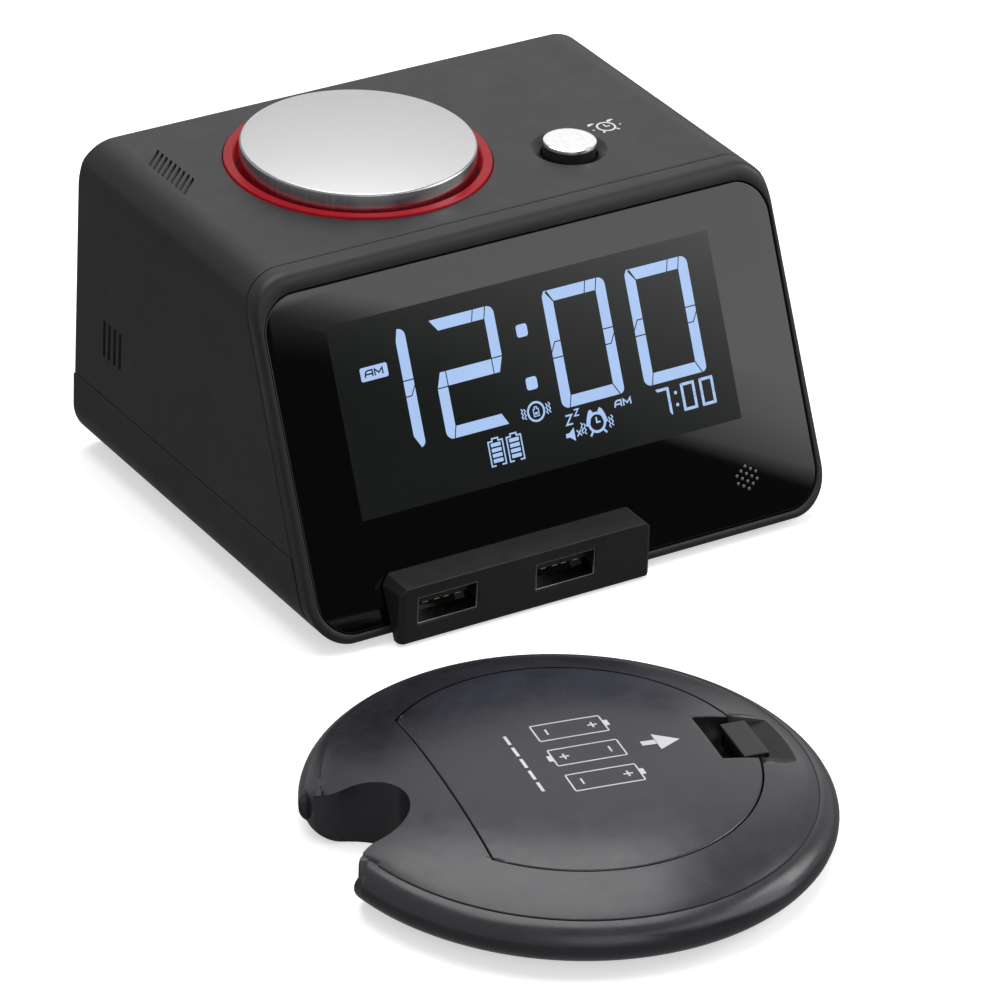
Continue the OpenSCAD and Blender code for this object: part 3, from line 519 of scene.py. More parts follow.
def own_piece(name, mesh, material, body, replaced=()):
    """Puts a finished mesh into the scene, riding on its body."""
    piece = bpy.data.objects.new(name, mesh)
    scene.collection.objects.link(piece)
    mesh.materials.clear()
    mesh.materials.append(material)
    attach(piece, body)
    if replaced:
        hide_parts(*replaced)
    return piece


def to_clock(point):
    """A scene place in metres, as millimetres in the clock's frame."""
    return Vector((point.x / MM - CLOCK_X, point.y / MM - CLOCK_Y, point.z / MM))


def to_shaker(point):
    """A scene place in metres, as millimetres in the shaker's frame."""
    c, s = math.cos(SHAKER_TURN), math.sin(SHAKER_TURN)
    dx, dy = point.x / MM - SHAKER_X, point.y / MM - SHAKER_Y
    return Vector((dx * c + dy * s, -dx * s + dy * c, point.z / MM))


def finished_copy(node, edge_width, to_own=to_clock, reshape=None, segments=3, crease=28):
    """A merged copy of a solid with a radius on each crease, in its own frame's words."""
    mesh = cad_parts[node].data.copy()
    mesh.name = "finished_" + node
    build = bmesh.new()
    build.from_mesh(mesh)
    bmesh.ops.remove_doubles(build, verts=build.verts, dist=2e-6)
    bmesh.ops.dissolve_degenerate(build, edges=build.edges, dist=1e-6)
    bmesh.ops.dissolve_limit(build, angle_limit=math.radians(0.4), verts=build.verts,
                             edges=build.edges)
    if reshape:
        for vertex in build.verts:
            vertex.co = reshape(vertex.co)
    weights = build.edges.layers.float.new("bevel_weight_edge")
    limit = math.radians(crease)
    for edge in build.edges:
        if len(edge.link_faces) == 2 and edge.calc_face_angle(0) > limit:
            middle = (edge.verts[0].co + edge.verts[1].co) / 2
            edge[weights] = edge_width(to_own(middle)) / EDGE_UNIT
    build.to_mesh(mesh)
    build.free()
    holder = bpy.data.objects.new("holder", mesh)
    scene.collection.objects.link(holder)
    mesh.shade_smooth()
    radius = holder.modifiers.new("edge radius", "BEVEL")
    radius.limit_method = "WEIGHT"
    radius.width = EDGE_UNIT * MM
    radius.segments = segments
    radius.use_clamp_overlap = False
    radius.miter_outer = "MITER_ARC"
    radius.harden_normals = True
    flats = holder.modifiers.new("flat faces", "WEIGHTED_NORMAL")
    flats.keep_sharp = True
    flats.weight = 80
    done = bpy.data.meshes.new_from_object(holder.evaluated_get(
        bpy.context.evaluated_depsgraph_get()))
    bpy.data.objects.remove(holder)
    done.name = mesh.name
    return done


# %% [markdown]
# ## The case
#
# The case is an extruded rounded bar cut off by the sloping face. The real moulding
# has draft: it is a little narrower at the top, so that it comes out of its tool. The
# copy's side walls are leaned in by that much.

# %% Case mouldings
DRAFT = 0.8
DRAFT_FROM = 55.5
SEAM_RADIUS = 0.25


def lean_in(co):
    """Moves the outer side walls in with height, and leaves the middle as it is."""
    own = to_clock(co)
    share = min(max((abs(own.x) - DRAFT_FROM) / (CASE_W / 2 - DRAFT_FROM), 0), 1)
    rise = min(max((own.z - FOOT_H) / (CASE_H - FOOT_H), 0), 1)
    return co - Vector((math.copysign(DRAFT * share * rise, own.x) * MM, 0, 0))


def face_depth(own):
    """Depth of a point behind the sloping face, in millimetres."""
    return own.y * COS_L - (own.z - FOOT_H) * SIN_L


def housing_edges(own):
    if own.y > CASE_D - 0.5:
        return 0.5
    in_grille = own.x < -CASE_W / 2 + 15 and own.y > CASE_D - 30 and own.z > CASE_H - 3
    in_vent = own.x < -CASE_W / 2 + 3 and own.y > CASE_D - 20
    if in_grille or in_vent:
        return 0.0
    if own.z > CASE_H - 1.6 and own.y > 40 and face_depth(own) > 6:
        return 0.18
    return SEAM_RADIUS if abs(face_depth(own) - 3.6) < 0.4 or own.z < PARTING_Z + 0.3 else 0.0


housing = own_piece("case_housing", finished_copy("upper_housing", housing_edges, to_clock,
                                                  lean_in), case_black, "clock",
                    ["upper_housing"])
base = own_piece("case_base", finished_copy("base_cover", lambda own: 0.25 if (
    own.z > PARTING_Z - 0.3 or own.y > CASE_D - 0.3 or abs(face_depth(own) - 3.6) < 0.4)
    else 0.0), base_black, "clock", ["base_cover"])
for piece in (housing, base):
    print(piece.name, len(piece.data.polygons), "faces")


# %% [markdown]
# ## The bezel
#
# The bezel is the sloping frame round the lens. It is made from loops of points: the
# case's outline is repeated at several depths behind the face, drawn in a little near
# the front, and neighbouring loops are joined with quads. That gives the soft front rim
# a true quarter-round. The flat parts between two loops are filled in one go.

# %% Loops, walls and flats
RIM_RADIUS = 1.25
BEZEL_DEEP = 3.5
LENS_DEEP = 1.6
LENS_HALF_W = 55.3
LENS_LOW = 2.17
LENS_HIGH = 66.07
LENS_R = 7.5
CORNER_STEPS = 12
SIDE_STEPS = 6


def round_loop(half_w, low, high, radius):
    """A rounded rectangle as a closed run of points, with a few points on each side."""
    points = []
    corners = [(half_w - radius, high - radius, 0), (radius - half_w, high - radius, 90),
               (radius - half_w, low + radius, 180), (half_w - radius, low + radius, 270)]
    for i, (cx, cy, start) in enumerate(corners):
        arc = [(cx + radius * math.cos(math.radians(start + 90 * k / CORNER_STEPS)),
                cy + radius * math.sin(math.radians(start + 90 * k / CORNER_STEPS)))
               for k in range(CORNER_STEPS + 1)]
        points += arc
        nx, ny, turn = corners[(i + 1) % 4]
        follow = (nx + radius * math.cos(math.radians(turn)),
                  ny + radius * math.sin(math.radians(turn)))
        for k in range(1, SIDE_STEPS):
            share = k / SIDE_STEPS
            points.append((arc[-1][0] * (1 - share) + follow[0] * share,
                           arc[-1][1] * (1 - share) + follow[1] * share))
    return points


def case_loop(build, inset, depth):
    """The case's outline drawn in, on the plane at this depth behind the face."""
    loop = []
    for x, z in round_loop(CASE_W / 2 - inset, FOOT_H + inset, CASE_H - inset,
                           EDGE_R - inset):
        y = (z - FOOT_H) * TAN_L + depth / COS_L
        loop.append(build.verts.new(lean_in(at_clock(x, y, z))))
    return loop


def lens_loop(build, grow, depth):
    """The lens outline grown by a little, on a plane at this depth."""
    return [build.verts.new(at_face(u, v, -depth)) for u, v in round_loop(
        LENS_HALF_W + grow, LENS_LOW - grow, LENS_HIGH + grow, LENS_R + grow)]


def wall(build, first, second):
    """Quads between two loops that have the same number of points."""
    for i in range(len(first)):
        j = (i + 1) % len(first)
        build.faces.new((first[i], first[j], second[j], second[i]))


def flat(build, *loops):
    """Fills the flat area between an outer loop and the holes in it."""
    edges = []
    for loop in loops:
        for i in range(len(loop)):
            edges.append(build.edges.get((loop[i - 1], loop[i]))
                         or build.edges.new((loop[i - 1], loop[i])))
    bmesh.ops.triangle_fill(build, use_beauty=True, use_dissolve=False, edges=edges)


def closed_mesh(build, name, crease=30):
    """Turns the walls outwards, shades them smooth and keeps the real corners sharp."""
    bmesh.ops.recalc_face_normals(build, faces=build.faces)
    mesh = bpy.data.meshes.new(name)
    build.to_mesh(mesh)
    build.free()
    mesh.shade_smooth()
    mesh.set_sharp_from_angle(angle=math.radians(crease))
    return mesh


def quarter(radius, steps=6):
    """Pairs of (inset, depth) that roll a flat face over into its side."""
    return [(radius * (1 - math.sin(math.pi / 2 * k / steps)),
             radius * (1 - math.cos(math.pi / 2 * k / steps))) for k in range(steps + 1)]


# %% Bezel mesh
build = bmesh.new()
outer = [case_loop(build, inset, depth) for inset, depth in quarter(RIM_RADIUS)]
outer.append(case_loop(build, 0, BEZEL_DEEP - 0.3))
outer.append(case_loop(build, 0.25, BEZEL_DEEP))
lip = [lens_loop(build, 0.15 + 0.2, 0), lens_loop(build, 0.15 + 0.06, 0.06),
       lens_loop(build, 0.15, 0.2), lens_loop(build, 0.15, LENS_DEEP)]
for first, second in zip(outer, outer[1:]):
    wall(build, first, second)
for first, second in zip(lip, lip[1:]):
    wall(build, first, second)
LCD_HOLE = (-44.85, 43.05, 19.85, 60.35)
hole = [[build.verts.new(at_face(u, v, -depth)) for u, v in (
    (LCD_HOLE[0], LCD_HOLE[2]), (LCD_HOLE[1], LCD_HOLE[2]),
    (LCD_HOLE[1], LCD_HOLE[3]), (LCD_HOLE[0], LCD_HOLE[3]))] for depth in (LENS_DEEP, BEZEL_DEEP)]
wall(build, hole[0], hole[1])
flat(build, outer[0], lip[0])
flat(build, lip[-1], hole[0])
flat(build, outer[-1], hole[1])
bezel = own_piece("case_bezel", closed_mesh(build, "case_bezel"), case_black, "clock",
                  ["front_bezel"])
print("bezel", len(bezel.data.polygons), "faces")
# %% [markdown]
# ## The display
#
# The front is one black acrylic lens, sunk a quarter of a millimetre into the bezel.
# Behind it sits the display glass, a shade lighter than the black round it. The lit
# figures are thin prisms on the face, not a picture: each stroke is a polygon with
# its own rounded or pointed ends, so they stay sharp at any distance.

# %% Lens and display window
LENS_FACE = -0.25


def gloss(name, colour, roughness, level):
    """Polished acrylic: almost no colour of its own, and faint polishing waves."""
    material, shader = blank_material(name)
    tint(material, noise(material, 25), [c * 0.8 for c in colour], colour,
         shader.inputs["Base Color"])
    spread(material, noise(material, 90), roughness, roughness + 0.025,
           shader.inputs["Roughness"])
    shader.inputs["Specular IOR Level"].default_value = level
    return material


lens_black = gloss("lens_black", (0.0006, 0.0006, 0.0007), 0.04, 0.5)
window_glass = gloss("window_glass", (0.0125, 0.0137, 0.0137), 0.05, 0.5)

build = bmesh.new()
edge = [lens_loop(build, -inset, depth - LENS_FACE) for inset, depth in quarter(0.3, 4)]
edge.append(lens_loop(build, 0, LENS_DEEP))
for first, second in zip(edge, edge[1:]):
    wall(build, first, second)
build.faces.new(edge[0])
build.faces.new(edge[-1][::-1])
own_piece("display_lens", closed_mesh(build, "display_lens"), lens_black, "clock",
          ["front_lens"])


def prisms(name, outlines, low, high, material, body="clock", replaced=(),
           to_scene=at_face):
    """Flat prisms from closed outlines, standing from one height to another."""
    build = bmesh.new()
    for outline in outlines:
        if area(outline) < 0:
            outline = outline[::-1]
        bottom = [build.verts.new(to_scene(u, v, low)) for u, v in outline]
        top = [build.verts.new(to_scene(u, v, high)) for u, v in outline]
        build.faces.new(top)
        build.faces.new(bottom[::-1])
        for i in range(len(outline)):
            j = (i + 1) % len(outline)
            build.faces.new((bottom[i], bottom[j], top[j], top[i]))
    mesh = bpy.data.meshes.new(name)
    build.to_mesh(mesh)
    build.free()
    return own_piece(name, mesh, material, body, replaced)


def area(outline):
    """Signed area of a closed outline; it is positive when it runs anticlockwise."""
    total = 0
    for (x0, y0), (x1, y1) in zip(outline, outline[1:] + outline[:1]):
        total += x0 * y1 - x1 * y0
    return total / 2


def softened(points, steps=5):
    """The outline of (x, y, radius) corners, with each corner rounded by its radius."""
    result = []
    for i, (x, y, radius) in enumerate(points):
        here = Vector((x, y))
        if radius <= 0:
            result.append((x, y))
            continue
        before = (Vector(points[i - 1][:2]) - here).normalized()
        after = (Vector(points[(i + 1) % len(points)][:2]) - here).normalized()
        half = before.angle(after) / 2
        reach = radius / math.tan(half)
        centre = here + (before + after).normalized() * radius / math.sin(half)
        start = here + before * reach - centre
        end = here + after * reach - centre
        turn = math.atan2(start.x * end.y - start.y * end.x, start.dot(end))
        for k in range(steps + 1):
            a = turn * k / steps
            result.append((centre.x + start.x * math.cos(a) - start.y * math.sin(a),
                           centre.y + start.x * math.sin(a) + start.y * math.cos(a)))
    return result


def rectangle(x0, x1, y0, y1, r=0.0):
    return softened([(x0, y0, r), (x1, y0, r), (x1, y1, r), (x0, y1, r)])


WINDOW = (-42.8, 41.0, 21.9, 58.35)
prisms("display_window", [rectangle(*WINDOW, 0.4)], LENS_FACE - 0.02, LENS_FACE + 0.008,
       window_glass)
print("window", [round(c, 1) for c in WINDOW])

# %% [markdown]
# ### The time
#
# A seven-segment figure is a set of bars with a hair of dark between them. The real
# glass cuts its bars unevenly: the upright bars own the rounded outer corners, the top
# bar is split once more, and short pieces sit half way up. Each bar is a list of
# corners with a radius for each, drawn in by half the dark line and then rounded.

# %% Big figures
STROKE = 2.4
SPLIT = 0.11
FIGURE_LOW = 32.3
FIGURE_HIGH = 54.9
FIGURES = [("1", -41.5, -26.7), ("2", -22.3, -7.5), ("0", 2.95, 17.0), ("0", 21.3, 35.5)]
PARTS = {"0": "a A b B c d e E f", "1": "b B c", "2": "a A b g G H e d", "7": "a A b B c"}


def bars_of(figure, x0, x1, y0, y1, stroke, split, outer):
    """Outlines of the lit bars of one figure inside its box."""
    s, r = stroke, outer
    lean_s, half_s = 0.27 * stroke, 0.45 * stroke
    upper = (y0 + y1) / 2 + 0.62 * s
    lower = (y0 + y1) / 2 - 0.62 * s
    cut_x = x0 + 0.7 * (x1 - x0)
    bars = {
        "a": [(x0 + lean_s, y1, 0), (x0 + s, y1 - s, 0), (cut_x - lean_s, y1 - s, 0),
              (cut_x, y1, 0)],
        "A": [(cut_x, y1, 0), (cut_x - lean_s, y1 - s, 0), (x1 - s, y1 - s, 0),
              (x1 - s + lean_s, y1, 0)],
        "b": [(x1 - s + lean_s, y1, 0), (x1 - s, y1 - s, 0), (x1 - s, upper, 0),
              (x1, upper, 0), (x1, y1, r)],
        "B": [(x1 - s, upper, 0), (x1 - s, lower, 0), (x1 - half_s, lower, 0),
              (x1, upper - half_s, 0), (x1, upper, 0)],
        "c": [(x1 - s, lower, 0), (x1 - s, y0 + s, 0), (x1 - half_s, y0, 0), (x1, y0, 0.7 * r),
              (x1, upper - half_s, 0), (x1 - half_s, lower, 0)],
        "d": [(x0 + s, y0 + s, 0), (x0 + s - lean_s, y0, 0), (x1 - half_s, y0, 0),
              (x1 - s, y0 + s, 0)],
        "e": [(x0, lower, 0), (x0, y0, r), (x0 + s - lean_s, y0, 0), (x0 + s, y0 + s, 0),
              (x0 + s, lower, 0)],
        "E": [(x0, lower, 0), (x0 + s, lower, 0), (x0 + s, upper, 0), (x0 + half_s, upper, 0),
              (x0, lower + half_s, 0)],
        "f": [(x0, lower + half_s, 0), (x0 + half_s, upper, 0), (x0 + s, upper, 0),
              (x0 + s, y1 - s, 0), (x0 + lean_s, y1, 0), (x0, y1, 0.8 * r)],
        "g": [(x0 + s, lower, 0), (x1 - s, lower, 0), (x1 - s, upper, 0), (x0 + s, upper, 0)],
        "G": [(x0, lower, 0), (x0 + s, lower, 0), (x0 + s, upper, 0), (x0 + half_s, upper, 0)],
        "H": [(x1 - s, lower, 0), (x1 - half_s, lower, 0), (x1, upper, 0), (x1 - s, upper, 0)],
    }
    if figure in "0":
        bars["a"][0] = (x0 + half_s, y1, 0)
    return [softened(shrink(bars[name], split)) for name in PARTS[figure].split()]


def shrink(points, by):
    """Moves every side of an anticlockwise outline inwards by the same distance."""
    if area([point[:2] for point in points]) < 0:
        points = points[::-1]
    lines = []
    for i, (x, y, _) in enumerate(points):
        x2, y2, _ = points[(i + 1) % len(points)]
        along = Vector((x2 - x, y2 - y)).normalized()
        lines.append((Vector((x - along.y * by, y + along.x * by)), along))
    result = []
    for i, point in enumerate(points):
        (p, d), (q, e) = lines[i - 1], lines[i]
        t = ((q.x - p.x) * e.y - (q.y - p.y) * e.x) / (d.x * e.y - d.y * e.x)
        result.append((p.x + d.x * t, p.y + d.y * t, point[2]))
    return result


figures = []
for figure, x0, x1 in FIGURES:
    figures += bars_of(figure, x0, x1, FIGURE_LOW, FIGURE_HIGH, STROKE, SPLIT, 1.5)
for v in (38.65, 48.7):
    figures.append(rectangle(-3.65, -1.25, v - 1.2, v + 1.2, 0.55))
prisms("display_time", figures, LENS_FACE, LENS_FACE + 0.03, segment_blue)
print("lit bars", len(figures))

# %% [markdown]
# ### The small signs
#
# The small signs are line drawings. A ribbon follows a list of points with a constant
# width, so a bell, a wave or a letter takes one line of numbers each.

# %% Small signs


def ribbon(points, width):
    """The outline of a line of constant width through the points."""
    count = len(points)
    left, right_side = [], []
    for i in range(count):
        here = Vector(points[i])
        before = (here - Vector(points[i - 1])).normalized() if i else None
        after = (Vector(points[i + 1]) - here).normalized() if i < count - 1 else None
        along = ((before or after) + (after or before)).normalized()
        across = Vector((-along.y, along.x)) * width / 2
        across /= max(along.dot(after or before), 0.45)
        left.append(tuple(here + across))
        right_side.append(tuple(here - across))
    return left + right_side[::-1]


def hoop(x, y, radius, width, steps=24):
    """A ring drawn as two half ribbons, so that each is a simple outline."""
    halves = []
    for start in (0, math.pi):
        points = [(x + radius * math.cos(start + math.pi * k / steps),
                   y + radius * math.sin(start + math.pi * k / steps))
                  for k in range(steps + 1)]
        halves.append(ribbon(points, width))
    return halves


def wave(x, y, height, swing, width):
    """A short upright zigzag line."""
    points = [(x + swing * (-1) ** k, y - height / 2 + height * k / 5) for k in range(6)]
    return ribbon(points, width)


def letter(strokes, x, y, wide, high, width):
    """A letter from strokes in a unit box, set at a place and size."""
    return [ribbon([(x + a * wide, y + b * high) for a, b in stroke], width)
            for stroke in strokes]


LETTER_A = [[(0, 0), (0.12, 0.75), (0.4, 1), (1, 1), (1, 0)], [(0.1, 0.42), (0.98, 0.42)]]
LETTER_M = [[(0, 0), (0, 1), (0.5, 0.35), (1, 1), (1, 0)]]
LETTER_Z = [[(0, 1), (1, 1), (0, 0), (1, 0)]]

signs = [rectangle(-37.5, -31.7, 46.8, 49.4, 0.4)]
for figure, x0, x1 in [("7", 23.2, 26.4), ("0", 28.9, 32.1), ("0", 33.1, 36.3)]:
    signs += bars_of(figure, x0, x1, 26.0, 31.4, 0.62, 0.03, 0.2)
signs += [rectangle(27.4, 28.0, v - 0.3, v + 0.3, 0.15) for v in (27.6, 29.9)]
signs += letter(LETTER_A, 14.2, 30.1, 1.45, 1.2, 0.3)
signs += letter(LETTER_M, 16.2, 30.1, 1.55, 1.2, 0.3)
signs += letter(LETTER_Z, 3.3, 29.3, 1.35, 1.7, 0.32)
signs += letter(LETTER_Z, 5.3, 30.6, 0.95, 1.15, 0.26)

# the alarm sign: a clock with two bells, its hands, and a wave on each side
BELL = (9.75, 28.35)
signs += hoop(BELL[0], BELL[1], 1.75, 0.5)
signs.append(ribbon([(BELL[0], BELL[1] + 1.0), BELL, (BELL[0] + 0.8, BELL[1])], 0.32))
for side in (-1, 1):
    signs.append(ribbon([(BELL[0] + side * (0.75 + 0.42 * k), BELL[1] + 2.35 - 0.3 * k * k)
                         for k in range(4)], 0.85))
    signs.append(ribbon([(BELL[0] + side * 1.2, BELL[1] - 1.6),
                         (BELL[0] + side * 1.8, BELL[1] - 2.3)], 0.4))
    for k in range(2):
        signs.append(wave(BELL[0] + side * (2.75 + 0.6 * k), BELL[1] - 0.6 + 0.25 * k, 2.1, 0.17,
                          0.22))

# the loudspeaker sign, crossed out
signs.append([(2.7, 26.9), (3.5, 26.9), (4.6, 26.0), (4.6, 28.6), (3.5, 27.7), (2.7, 27.7)])
signs += [ribbon([(5.1, 26.7), (6.1, 27.9)], 0.25), ribbon([(5.1, 27.9), (6.1, 26.7)], 0.25)]

# the shaker sign: a disc with an upright cell in it, and zigzags on each side
DISC = (-2.65, 33.3)
signs += hoop(DISC[0], DISC[1], 1.75, 0.4)
signs.append(ribbon([(DISC[0] + a, DISC[1] + b) for a, b in (
    (0.05, -0.85), (0.55, -0.85), (0.55, 0.5), (0.25, 0.5), (0.25, 0.9), (-0.25, 0.9),
    (-0.25, 0.5), (-0.55, 0.5), (-0.55, -0.85), (-0.05, -0.85))], 0.2))
signs.append(rectangle(DISC[0] - 0.3, DISC[0] + 0.3, DISC[1] - 0.55, DISC[1] - 0.1))
for side in (-1, 1):
    for k in range(2):
        signs.append(wave(DISC[0] + side * (2.4 + 0.58 * k), DISC[1] + 0.15 * k, 2.0, 0.16, 0.22))

# two batteries with their four bars
for x0 in (-13.95, -9.95):
    x1, low, high = x0 + 3.1, 25.4, 30.0
    signs.append(ribbon([(x1 - 0.9, low), (x1, low), (x1, high), (x0 + 2.2, high),
                         (x0 + 2.2, high + 0.5), (x0 + 0.9, high + 0.5), (x0 + 0.9, high),
                         (x0, high), (x0, low), (x0 + 0.9, low)], 0.28))
    for k in range(4):
        signs.append(rectangle(x0 + 0.5, x1 - 0.5, low + 0.55 + k, low + 1.25 + k))

prisms("display_signs", signs, LENS_FACE, LENS_FACE + 0.03, segment_blue)

badge_ink = [outline for strokes, x in ((LETTER_A, -36.6), (LETTER_M, -34.45))
             for outline in letter(strokes, x, 47.5, 1.65, 1.2, 0.28)]
prisms("display_badge_letters", badge_ink, LENS_FACE + 0.02, LENS_FACE + 0.045, window_glass)
print("small signs", len(signs))

# %% [markdown]
# ### Sensor holes
#
# At the lower right of the lens is a patch of small round holes for the light sensor.
# They repeat, so Geometry Nodes make them: a mesh of bare points carries the places,
# and the tree puts one small dimpled disc on each. Its sizes are named inputs.

# %% A tree that puts a turned disc on every point


def group_input(tree, name, kind, value):
    """Adds a named input to a node group."""
    socket = tree.interface.new_socket(name, in_out="INPUT", socket_type=kind)
    socket.default_value = value
    return socket


def stud_tree(name, material, sides):
    """Geometry Nodes: a low cone frustum on each point, standing along the given direction."""
    tree = bpy.data.node_groups.new(name, "GeometryNodeTree")
    tree.interface.new_socket("Geometry", in_out="INPUT", socket_type="NodeSocketGeometry")
    group_input(tree, "Foot Radius", "NodeSocketFloat", 1.0)
    group_input(tree, "Top Radius", "NodeSocketFloat", 1.0)
    group_input(tree, "Height", "NodeSocketFloat", 1.0)
    group_input(tree, "Direction", "NodeSocketVector", (0, 0, 1))
    tree.interface.new_socket("Geometry", in_out="OUTPUT", socket_type="NodeSocketGeometry")
    add = tree.nodes.new
    link = tree.links.new
    given, result = add("NodeGroupInput"), add("NodeGroupOutput")
    stud = add("GeometryNodeMeshCone")
    stud.inputs["Vertices"].default_value = sides
    link(given.outputs["Top Radius"], stud.inputs["Radius Top"])
    link(given.outputs["Foot Radius"], stud.inputs["Radius Bottom"])
    link(given.outputs["Height"], stud.inputs["Depth"])
    turn = add("FunctionNodeAlignRotationToVector")
    turn.axis = "Z"
    link(given.outputs["Direction"], turn.inputs["Vector"])
    place_all = add("GeometryNodeInstanceOnPoints")
    link(given.outputs["Geometry"], place_all.inputs["Points"])
    link(stud.outputs["Mesh"], place_all.inputs["Instance"])
    link(turn.outputs["Rotation"], place_all.inputs["Rotation"])
    solid = add("GeometryNodeRealizeInstances")
    link(place_all.outputs["Instances"], solid.inputs["Geometry"])
    paint = add("GeometryNodeSetMaterial")
    paint.inputs["Material"].default_value = material
    link(solid.outputs["Geometry"], paint.inputs["Geometry"])
    link(paint.outputs["Geometry"], result.inputs["Geometry"])
    return tree


def from_nodes(name, points, tree, sizes):
    """Runs a tree on bare points and returns the result as a plain mesh."""
    seeds = bpy.data.meshes.new(name + "_points")
    seeds.from_pydata([tuple(p) for p in points], [], [])
    holder = bpy.data.objects.new(name + "_points", seeds)
    scene.collection.objects.link(holder)
    maker = holder.modifiers.new("maker", "NODES")
    maker.node_group = tree
    for item in tree.interface.items_tree:
        if item.in_out == "INPUT" and item.name in sizes:
            maker[item.identifier] = sizes[item.name]
    mesh = bpy.data.meshes.new_from_object(holder.evaluated_get(
        bpy.context.evaluated_depsgraph_get()))
    bpy.data.objects.remove(holder)
    mesh.name = name
    return mesh


def studs(name, points, material, body, foot, top, height, direction, replaced=(),
          sides=20):
    """Studs of one size on many points, as one piece."""
    mesh = from_nodes(name, points, stud_tree(name + "_tree", material, sides), {
        "Foot Radius": foot * MM, "Top Radius": top * MM, "Height": height * MM,
        "Direction": tuple(direction)})
    mesh.shade_smooth()
    mesh.set_sharp_from_angle(angle=math.radians(40))
    return own_piece(name, mesh, material, body, replaced)


FACE_OUT = Vector((0, -COS_L, SIN_L))
dot_grey = moulded("dot_grey", (0.055, 0.055, 0.055), 0.3, depth=0.001, gloss=0.9)
dot_places = []
for column in range(-2, 3):
    count = 4 - abs(column)
    for row in range(count):
        v = 10.6 + (row - (count - 1) / 2) * 1.45
        dot_places.append(at_face(39.8 + column * 1.07, v, LENS_FACE - 0.02))
studs("sensor_dots", dot_places, dot_grey, "clock", 0.36, 0.24, 0.06, FACE_OUT)
print("sensor holes", len(dot_places))

# %% [markdown]
# ## The knob and its ring of light
#
# The knob, the ring and the button are turned shapes, so each is a profile spun round
# an axis. The profile is a list of radius and height, and each stretch of it can have
# its own finish: the knob's top is fine-blasted aluminium, its side is polished and
# mirrors the ring.

# %% Turned pieces
KNOB = (-12.6, 63.5)
BUTTON = (25.2, 48.6)
TURN_STEPS = 128


def turned(name, profile, centre, materials, finishes=None, steps=TURN_STEPS, to_scene=at_clock,
           crease=32):
    """A closed profile of (radius, height) spun round a vertical axis."""
    build = bmesh.new()
    rings = []
    for radius, height in profile:
        if radius == 0:
            rings.append([build.verts.new(to_scene(*centre, height))])
        else:
            rings.append([build.verts.new(to_scene(
                centre[0] + radius * math.cos(2 * math.pi * k / steps),
                centre[1] + radius * math.sin(2 * math.pi * k / steps), height))
                for k in range(steps)])
    count = len(profile)
    for i in range(count):
        first, second = rings[i], rings[(i + 1) % count]
        if len(first) == 1 and len(second) == 1:
            continue
        for k in range(steps):
            n = (k + 1) % steps
            corners = []
            for ring, order in ((first, (k, n)), (second, (n, k))):
                corners += [ring[0]] if len(ring) == 1 else [ring[j] for j in order]
            face = build.faces.new(corners)
            face.material_index = finishes[i] if finishes else 0
    bmesh.ops.recalc_face_normals(build, faces=build.faces)
    mesh = bpy.data.meshes.new(name)
    build.to_mesh(mesh)
    build.free()
    for material in materials:
        mesh.materials.append(material)
    mesh.shade_smooth()
    mesh.set_sharp_from_angle(angle=math.radians(crease))
    return mesh


def mounted(name, mesh, body, replaced=()):
    """Like own_piece, for a mesh that already carries its materials."""
    piece = bpy.data.objects.new(name, mesh)
    scene.collection.objects.link(piece)
    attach(piece, body)
    if replaced:
        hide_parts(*replaced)
    return piece


knob_low, knob_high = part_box("knob_cap")
KNOB_R = (knob_high.x - knob_low.x) / 2 / MM
KNOB_TOP = knob_high.z / MM
KNOB_UNDER = knob_low.z / MM
knob_profile = [
    (0, KNOB_TOP), (KNOB_R - 0.42, KNOB_TOP), (KNOB_R - 0.3, KNOB_TOP - 0.04),
    (KNOB_R - 0.06, KNOB_TOP - 0.24), (KNOB_R, KNOB_TOP - 0.4), (KNOB_R, KNOB_UNDER + 0.25),
    (KNOB_R - 0.2, KNOB_UNDER), (KNOB_R - 1.8, KNOB_UNDER), (KNOB_R - 1.8, KNOB_TOP - 1.8),
    (5.5, KNOB_TOP - 1.8), (5.5, KNOB_UNDER), (3.02, KNOB_UNDER), (3.02, KNOB_TOP - 1.8),
    (0, KNOB_TOP - 1.8),
]
knob_finish = [0] + [1] * (len(knob_profile) - 1)
mounted("volume_knob", turned("volume_knob", knob_profile, KNOB, [knob_face, knob_side],
                              knob_finish), "knob", ["knob_cap"])

RING_IN, RING_OUT = 23.4, 25.4
RING_TOP = CASE_H + 0.4
ring_profile = [
    (RING_IN, 61.0), (RING_OUT + 1.7, 61.0), (RING_OUT + 1.7, 62.6), (RING_OUT, 62.6),
    (RING_OUT, RING_TOP - 0.15), (RING_OUT - 0.15, RING_TOP), (RING_IN + 0.3, RING_TOP),
    (RING_IN, RING_TOP - 0.3),
]
mounted("light_ring", turned("light_ring", ring_profile, KNOB, [ring_red]), "clock",
        ["ring_light"])

# %% [markdown]
# ## The alarm button
#
# A small bright cap on a black stem, standing in a dish pressed into the case top. The
# cap's top is a hair domed, so it mirrors a soft highlight and not one flat tone.

